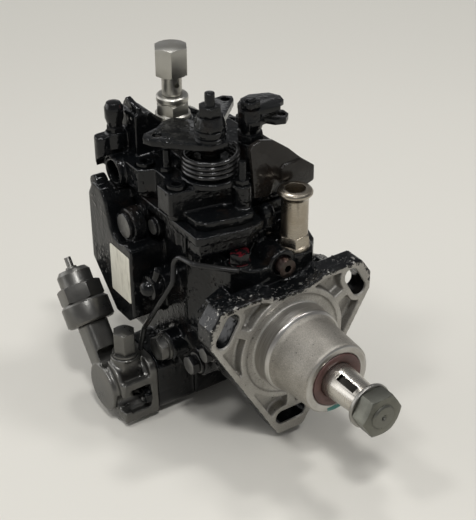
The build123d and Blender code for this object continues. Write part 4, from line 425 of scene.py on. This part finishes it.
def overspray_and_slot_shade(n):
    """1 where the housing is painted: behind the flange, and raggedly over its edge, most at the top;
    also on the deep slot walls, where the black is painted shade.
    """
    along = n.axis("Y")
    top = n.step(n.axis("Z"), 14.0, 27.0)
    reach = n.math("ADD", n.times(top, 1.3), 0.25)
    width = n.math("ADD", n.times(top, 13.0), 1.5)
    limit = n.math("ADD", reach, n.spread(n.noise(330, 5, 0.75, seed=2.0), width))
    # Deep slot walls fall under this too, through their negative inset: painted shade in the slots.
    edge_and_slot_shade = n.step(n.math("SUBTRACT", limit, n.attribute("inset")), -0.15, 0.15)
    behind = n.step(along, BARE_DEPTH - 1.0, BARE_DEPTH)
    return n.times(n.math("MAXIMUM", edge_and_slot_shade, behind), n.step(along, -1.2, -0.8))


def teal_dab(n, on_end):
    """1 in a brush dab of teal marking paint, low on the end of the nose."""
    (left, right), (low, up) = TEAL_DAB
    across = n.math("ADD", n.axis("X"), n.spread(n.noise(300, 3, 0.6, seed=4.0), 3.0))
    dab = n.times(n.step(across, left, left + 0.4), n.step(across, right + 0.4, right))
    dab = n.times(dab, n.step(n.axis("Z"), up + 0.4, up), on_end)
    return n.times(dab, n.step(n.noise(420, 4, 0.7, seed=6.0), 0.30, 0.38))


def housing_paint(name):
    """Bare cast aluminium at the drive end and black paint behind it."""
    n = Surface(name)
    bare, bare_rough, pits = bare_cast(n)
    along = n.axis("Y")
    machined = n.step(n.math("SUBTRACT", PILOT_RADIUS + 0.7, n.radius()), 0.0, 0.2)
    on_pilot = n.times(n.step(along, -PILOT_LENGTH - 0.2, -PILOT_LENGTH), n.step(along, 0.4, 0.2))
    on_end = n.step(along, -NOSE_END + 1.0, -NOSE_END + 0.6)
    bright = n.times(machined, n.math("MAXIMUM", on_pilot, on_end))
    rings = n.noise(70, 4, 0.6, stretch=(1, 40, 1))
    turned = n.ramp(rings, [(0.3, (0.30, 0.28, 0.25)), (0.7, (0.52, 0.51, 0.49))])
    metal = n.mix(bright, bare, turned)
    metal_rough = n.mix(bright, bare_rough, (0.30, 0.30, 0.30))

    # On the deep slot walls this black is painted shade, not paint.
    painted = overspray_and_slot_shade(n)
    dab = teal_dab(n, on_end)
    paint, patches = paint_colour_and_reflection(n, PAINT_BLACK, 0.3)
    n.set(Base_Color=n.mix(dab, n.mix(painted, metal, paint), TEAL_TONE), IOR=PAINT_IOR)
    unpainted, undabbed = n.math("SUBTRACT", 1.0, painted), n.math("SUBTRACT", 1.0, dab)
    n.set(Metallic=n.times(unpainted, undabbed, BARE_METALLIC))
    n.set(Roughness=n.mix(painted, metal_rough, n.ramp(patches, PAINT_ROUGHNESS)))
    n.set(Normal=n.mix(painted, n.bump(pits, 0.22, 0.0002), paint_skin(n), data="VECTOR"))
    return n.material


def red_marked(name, cover):
    """Black paint with ragged dabs of dark red marking paint on the faces that look up."""
    n = Surface(name)
    dab = n.step(n.noise(260, 4, 0.65, seed=3.0), 0.66 - cover * 0.3, 0.70 - cover * 0.3)
    dab = n.times(dab, n.step(n.facing("Z"), 0.15, 0.6))
    n.set(Base_Color=n.mix(dab, FITTING_BLACK, RED_MARK), IOR=PAINT_IOR)
    n.set(Roughness=n.ramp(n.noise(80, 3, 0.5), [(0.3, 0.11), (0.8, 0.26)]), Normal=paint_skin(n))
    return n.material


def seal_rubber(name):
    """Brown-red lip seal with small moulded dots."""
    n = Surface(name)
    dots = n.ramp(n.cells(260), [(0.0, 0.0), (0.12, 1.0)])
    tone = n.ramp(n.noise(160, 4, 0.6), [(0.3, (0.062, 0.027, 0.024)), (0.7, (0.115, 0.056, 0.048))])
    n.set(Base_Color=n.mix(dots, (0.13, 0.02, 0.02), tone), Roughness=0.48)
    n.set(Normal=n.bump(dots, 0.3, 0.0003))
    return n.material


def label(name):
    """Blank cream sheet, a little scuffed."""
    n = Surface(name)
    scuff = n.noise(240, 5, 0.7, stretch=(1, 1, 0.22))
    creams = [(0.3, (0.36, 0.34, 0.28)), (0.48, (0.56, 0.54, 0.46)), (0.7, (0.62, 0.60, 0.52))]
    n.set(Base_Color=n.ramp(scuff, creams))
    n.set(Roughness=n.ramp(scuff, [(0.3, 0.62), (0.7, 0.42)]))
    n.set(Normal=n.bump(scuff, 0.08, 0.0001))
    return n.material


def plug_faces(name):
    """Black plugs whose outer faces are bare machined metal."""
    n = Surface(name)
    bare = n.step(n.times(n.facing("X"), -1.0), 0.93, 0.96)
    grey = n.ramp(n.noise(150, 4, 0.6), [(0.3, (0.09, 0.088, 0.085)), (0.7, (0.17, 0.168, 0.16))])
    n.set(Base_Color=n.mix(bare, FITTING_BLACK, grey), Metallic=n.times(bare, 0.8), IOR=PAINT_IOR)
    n.set(Roughness=n.mix(bare, (0.18, 0.18, 0.18), (0.42, 0.42, 0.42)))
    n.set(Normal=n.bump(n.noise(420, 3, 0.5), 0.25, 0.0003))
    return n.material


def spring_wire(name):
    """Painted spring wire, glossy on the crowns."""
    n = Surface(name)
    tone = n.ramp(n.noise(240, 4, 0.6), [(0.35, (0.005, 0.005, 0.0055)), (0.8, (0.022, 0.021, 0.020))])
    n.set(Base_Color=tone, Roughness=0.17, IOR=1.5)
    n.set(Normal=n.bump(n.noise(500, 3, 0.5), 0.4, 0.0003))
    return n.material


MATERIALS = {
    "black": gloss_paint("black_paint"),
    "black_fine": gloss_paint("black_paint_fittings", dust=0.2, depth=0.8),
    "housing": housing_paint("housing_paint_and_bare_casting"),
    "satin": satin_black("satin_black"),
    "beads": gloss_paint("dried_paint_beads", dust=0.1, depth=0.3),
    "bracket": gloss_paint("bracket_paint", tone=(0.013, 0.011, 0.0095), dust=0.9, depth=0.3),
    "pipe": gloss_paint("pipe_paint", tone=(0.017, 0.017, 0.017), dust=0.8, depth=0.4),
    "shaft": steel("ground_steel", (0.52, 0.505, 0.475), 0.22),
    "drive_shaft": drive_shaft("drive_shaft"),
    "valve": steel("blackened_valve", (0.060, 0.054, 0.048), 0.30, warm=(0.05, 0.014, 0.013)),
    "washer": steel("plain_washer", (0.34, 0.33, 0.305), 0.34),
    "olive": steel("olive_steel", (0.165, 0.165, 0.142), 0.38, marks=0.2),
    "nickel": steel("nickel_plate", (0.43, 0.42, 0.385), 0.36, "Z", warm=(0.33, 0.31, 0.265)),
    "tube": steel("plated_tube", (0.37, 0.335, 0.28), 0.26, "Z", 0.02, warm=(0.25, 0.20, 0.14)),
    "hard": steel("hardened_steel", (0.38, 0.38, 0.39), 0.3),
    "bronze": steel("bearing_bronze", (0.52, 0.36, 0.16), 0.34),
    "spring": spring_wire("spring_wire"),
    "red": red_marked("red_marked_paint", cover=0.6),
    "red_dot": red_marked("red_dotted_paint", cover=0.12),
    "seal": seal_rubber("seal_rubber"),
    "label": label("blank_label"),
    "plugs": plug_faces("plug_faces"),
}


# ---------------------------------------------------------------- pieces from the frame
def copy_of(node, name):
    """A new object with a copy of the node's mesh, its split edges welded."""
    source = frame["nodes"][node]
    piece = bpy.data.objects.new(name, source.data.copy())
    bpy.context.scene.collection.objects.link(piece)
    piece.data.materials.clear()
    work = bmesh.new()
    work.from_mesh(piece.data)
    bmesh.ops.remove_doubles(work, verts=work.verts, dist=WELD_REACH)
    work.to_mesh(piece.data)
    work.free()
    return piece


def bake(piece):
    """Replace the piece's mesh by what its modifiers make of it."""
    graph = bpy.context.evaluated_depsgraph_get()
    made = bpy.data.meshes.new_from_object(piece.evaluated_get(graph))
    piece.modifiers.clear()
    piece.data = made


def dress(mesh, material, crease=None):
    """Give a mesh its material and smooth shading, with edges sharper than crease kept."""
    mesh.materials.clear()
    mesh.materials.append(MATERIALS[material])
    mesh.shade_smooth()
    if crease is not None:
        mesh.set_sharp_from_angle(angle=crease)


def seat(piece, node):
    """Put a new piece on a node's body."""
    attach(piece, frame["nodes"][node]["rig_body"])


def finish_piece(piece, node, material, crease=None):
    """Dress a new piece and let it stand for its node."""
    dress(piece.data, material, crease)
    seat(piece, node)
    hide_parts(node)
    return piece


def flange_inset(points):
    """How far each point (an N x 3 array, m) lies inside the flange's outline, in mm; deep slot walls
    get a fixed negative value instead, which colours them black as painted shade.
    """
    half = [*FLANGE_TOP, *FLANGE_SIDE]
    outline = np.array(half + [(-x, z) for x, z in reversed(half)], float)
    place = points[:, (0, 2)] * TO_MM
    nearest = np.full(len(place), np.inf)
    for start, end in zip(outline, np.roll(outline, -1, axis=0)):
        run = end - start
        share = np.clip(((place - start) @ run) / (run @ run), 0, 1)
        gap = np.linalg.norm(place - start - share[:, None] * run, axis=1)
        nearest = np.minimum(nearest, gap)
    for angle in SLOT_ANGLES:
        out = np.array((math.cos(math.radians(angle)), math.sin(math.radians(angle))))
        along = np.abs((place - SLOT_CIRCLE * out) @ np.array((-out[1], out[0])))
        aside = (place - SLOT_CIRCLE * out) @ out
        gap = np.hypot(np.maximum(along - SLOT_REACH, 0), aside)
        # Slot walls deeper than SLOT_BARE_DEPTH are marked to be coloured black: painted shade in the
        # slots.
        shaded_slot = (gap < SLOT_HALF_WIDTH + SLOT_MARGIN) & (points[:, 1] > SLOT_BARE_DEPTH * MM)
        nearest[shaded_slot] = SLOT_SHADE_INSET
    return nearest


def add_inset(piece):
    """Keep flange_inset on the mesh for the paint mask, which also puts painted shade in the slots."""
    points = np.empty(len(piece.data.vertices) * 3)
    piece.data.vertices.foreach_get("co", points)
    layer = piece.data.attributes.new("inset", "FLOAT", "POINT")
    layer.data.foreach_set("value", flange_inset(points.reshape(-1, 3)))


def cast(node, material):
    """A casting: the CAD solid with its edges and inner corners rounded as poured metal is."""
    piece = copy_of(node, node + "_cast")
    remesh = piece.modifiers.new("poured", "REMESH")
    remesh.mode = "VOXEL"
    remesh.voxel_size = CAST_VOXEL
    smooth = piece.modifiers.new("soft", "SMOOTH")
    smooth.factor = 0.5
    smooth.iterations = CAST_SMOOTHING
    bake(piece)
    return finish_piece(piece, node, material)


def machined(node, material):
    """A machined or pressed piece: the CAD solid with its sharp edges broken."""
    piece = copy_of(node, node + "_finished")
    work = bmesh.new()
    work.from_mesh(piece.data)
    bmesh.ops.dissolve_limit(work, angle_limit=FLAT_ANGLE, verts=work.verts, edges=work.edges)
    work.to_mesh(piece.data)
    work.free()
    bevel = piece.modifiers.new("broken_edges", "BEVEL")
    bevel.width = EDGE_ROUND
    bevel.segments = EDGE_SEGMENTS
    bevel.limit_method = "ANGLE"
    bevel.angle_limit = EDGE_ANGLE
    bevel.use_clamp_overlap = True
    bake(piece)
    return finish_piece(piece, node, material, FITTING_CREASE)


CASTINGS = {
    "pump_housing": "housing",
    "governor_cover": "black",
    "timing_cover_left": "satin",
    "timing_cover_right": "satin",
    "distributor_head": "black",
}
FITTINGS = {
    "drive_nut": "olive", "drive_shaft": "drive_shaft", "shaft_washer": "washer", "shaft_seal": "seal",
    "overflow_adapter": "nickel", "overflow_bolt": "nickel", "inlet_tube": "tube",
    "regulating_valve": "valve", "shelf_bolt": "red", "capped_adjuster": "red_dot",
    "acorn_plug": "black_fine",
    "throttle_lever": "black_fine", "throttle_nut": "black_fine", "throttle_shaft": "black_fine",
    "stop_lever": "black_fine", "stop_nut": "black_fine", "stop_screws": "black_fine",
    "cable_bracket": "bracket", "cover_bolts": "black_fine", "full_load_screw": "black_fine",
    "timing_solenoid": "satin", "timing_plugs": "satin", "timing_bolts": "black_fine",
    "type_plate": "label", "side_plugs": "plugs", "side_banjo": "black_fine",
    "head_bolts": "black_fine", "delivery_valve_holders": "black_fine", "head_centre_plug": "black_fine",
    "shutoff_solenoid": "satin",
}
PLAIN = {
    "drive_bush": "bronze", "vane_pump_ring": "hard", "vane_pump_cover": "hard", "vane_rotor": "hard",
    "pump_vanes": "hard", "drive_gear": "hard", "governor_gear": "hard", "governor_shaft": "hard",
    "governor_sleeve": "hard", "governor_lever": "hard", "cross_disc": "hard", "cam_disc": "hard",
    "roller_ring": "hard", "cam_rollers": "shaft", "plunger": "shaft", "control_collar": "hard",
    "plunger_springs": "spring", "return_spring": "spring", "timing_piston": "hard",
    "timing_spring": "spring", "leak_pipe": "pipe",
}
WEIGHTS = [name for name in frame["nodes"] if name.startswith("flyweight_")]


def add_beads(name, casting, node, count, sizes, place_fits):
    """Small beads of dried paint, on the vertices of a casting that place_fits accepts."""
    chance = random.Random(name)
    spots = [v for v in casting.data.vertices if place_fits(v.co, v.normal)]
    work = bmesh.new()
    for spot in chance.sample(spots, min(count, len(spots))):
        size = chance.uniform(*sizes)
        turn = spot.normal.to_track_quat("Z", "Y").to_matrix().to_4x4()
        wide, deep = chance.uniform(*BEAD_STRETCH), chance.uniform(*BEAD_STRETCH)
        shape = Matrix.Diagonal((size * wide, size * deep, size * BEAD_HEIGHT, 1))
        where = Matrix.Translation(spot.co - spot.normal * size * BEAD_SINK)
        bmesh.ops.create_icosphere(work, subdivisions=2, radius=1.0, matrix=where @ turn @ shape)
    mesh = bpy.data.meshes.new(name)
    work.to_mesh(mesh)
    work.free()
    piece = bpy.data.objects.new(name, mesh)
    bpy.context.scene.collection.objects.link(piece)
    dress(mesh, "beads")
    seat(piece, node)


def on_flange_top(place, normal):
    """On the flange's top edge."""
    on_edge = 0.6 * MM < place.y < 12.5 * MM and place.z > 29.5 * MM
    return on_edge and normal.z > 0.35 and abs(place.x) < 46 * MM


def on_shelf(place, normal):
    """On the housing's shelf, between the flange and the governor cover."""
    return 12.5 * MM < place.y < 36 * MM and place.z > 30 * MM and normal.z > 0.2


def on_cover(place, normal):
    """On the governor cover's front part, where it faces up or forward."""
    on_front = place.y < 75 * MM and place.z > 50 * MM
    return on_front and (normal.z > 0.5 or normal.y < -0.5)


BEADS = {
    "pump_housing": (
        ("flange_paint_beads", 150, (0.35 * MM, 0.95 * MM), on_flange_top),
        ("shelf_paint_beads", 130, (0.25 * MM, 0.7 * MM), on_shelf),
    ),
    "governor_cover": (
        ("cover_paint_beads", 110, (0.2 * MM, 0.5 * MM), on_cover),
    ),
}

for node, material in CASTINGS.items():
    poured = cast(node, material)
    if material == "housing":
        add_inset(poured)
    for name, count, sizes, place_fits in BEADS.get(node, ()):
        add_beads(name, poured, node, count, sizes, place_fits)
for node, material in FITTINGS.items():
    machined(node, material)
for node, material in [*PLAIN.items(), *((name, "hard") for name in WEIGHTS)]:
    dress(frame["nodes"][node].data, material, INNER_CREASE)


# ---------------------------------------------------------------- stage
def seen_directly(n):
    """1 where the camera, or mirror-like metal or glass, sees the surface."""
    path = n.add("LightPath")
    mirrored = n.math("MAXIMUM", path.outputs["Is Glossy Ray"], path.outputs["Is Transmission Ray"])
    return n.math("MAXIMUM", path.outputs["Is Camera Ray"], mirrored)


def make_floor():
    """A pale floor that takes the shadow near the object and is one plain tone further out."""
    low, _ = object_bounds()
    mesh = bpy.data.meshes.new("floor")
    corners = [(x * FLOOR_HALF, y * FLOOR_HALF, 0) for x, y in ((-1, -1), (1, -1), (1, 1), (-1, 1))]
    mesh.from_pydata(corners, [], [(0, 1, 2, 3)])
    floor = bpy.data.objects.new("floor", mesh)
    floor.location = (0, 0, low.z)
    bpy.context.scene.collection.objects.link(floor)
    n = Surface("pale_floor")
    n.set(Base_Color=FLOOR_TONE, Roughness=0.9, Specular_IOR_Level=0.1)
    far = n.times(n.step(n.measure("LENGTH"), *FLOOR_FADE), seen_directly(n))
    plain = n.add("Emission")
    plain.inputs["Color"].default_value = (*FAR_TONE, 1)
    blend = n.add("MixShader")
    n.join(far, blend.inputs[0])
    n.join(n.shader.outputs[0], blend.inputs[1])
    n.join(plain.outputs[0], blend.inputs[2])
    n.join(blend.outputs[0], n.output.inputs["Surface"])
    floor.data.materials.append(n.material)


def make_lamp(name, place, power):
    """A square lamp above the object, turned towards it."""
    lamp = bpy.data.lights.new(name, "AREA")
    lamp.shape = "RECTANGLE"
    lamp.size = lamp.size_y = LAMP_SIZE
    lamp.energy = power
    holder = bpy.data.objects.new(name, lamp)
    holder.location = place
    holder.rotation_euler = (Vector(LAMP_AIM) - Vector(place)).to_track_quat("-Z", "Y").to_euler()
    bpy.context.scene.collection.objects.link(holder)


def make_world():
    """Pale at the horizon and dimmer above it, with a soft window low on one side."""
    world = bpy.data.worlds.new("studio")
    bpy.context.scene.world = world
    world.use_nodes = True
    n = Nodes(world.node_tree, "Generated")
    stops = [(height, (grey, grey, grey * SKY_BLUENESS)) for height, grey in WORLD_BANDS]
    bands = n.ramp(n.split(n.place)["Z"], stops)
    toward_window = n.measure("DOT_PRODUCT", Vector(WINDOW_TOWARD).normalized())
    glow = n.times(n.step(toward_window, *WINDOW_EDGE), WINDOW_GLOW)
    sky = n.mix(1.0, bands, glow, "ADD")
    seen_by_camera = n.add("LightPath").outputs["Is Camera Ray"]
    background = n.tree.nodes["Background"]
    n.join(n.mix(seen_by_camera, sky, FAR_TONE), background.inputs["Color"])
    background.inputs["Strength"].default_value = 1.0


def make_camera():
    """The camera that the photo was taken from."""
    back = Vector(CAMERA_BACK).normalized()
    right = Vector(CAMERA_RIGHT).normalized()
    up = back.cross(right)
    turn = Matrix((right, up, back)).transposed() @ Matrix.Rotation(CAMERA_ROLL, 3, "Z")
    data = bpy.data.cameras.new("camera")
    data.lens = CAMERA_LENS_MM
    data.sensor_width = CAMERA_SENSOR_MM
    data.clip_start, data.clip_end = CAMERA_REACH
    camera = bpy.data.objects.new("camera", data)
    camera.location = CAMERA_PLACE
    camera.rotation_mode = "QUATERNION"
    camera.rotation_quaternion = turn.to_quaternion()
    bpy.context.scene.collection.objects.link(camera)
    bpy.context.scene.camera = camera


make_floor()
make_world()
for name, place, power in CEILING_LAMPS:
    make_lamp(name, place, power)
make_camera()
bpy.context.scene.view_settings.view_transform = "Standard"
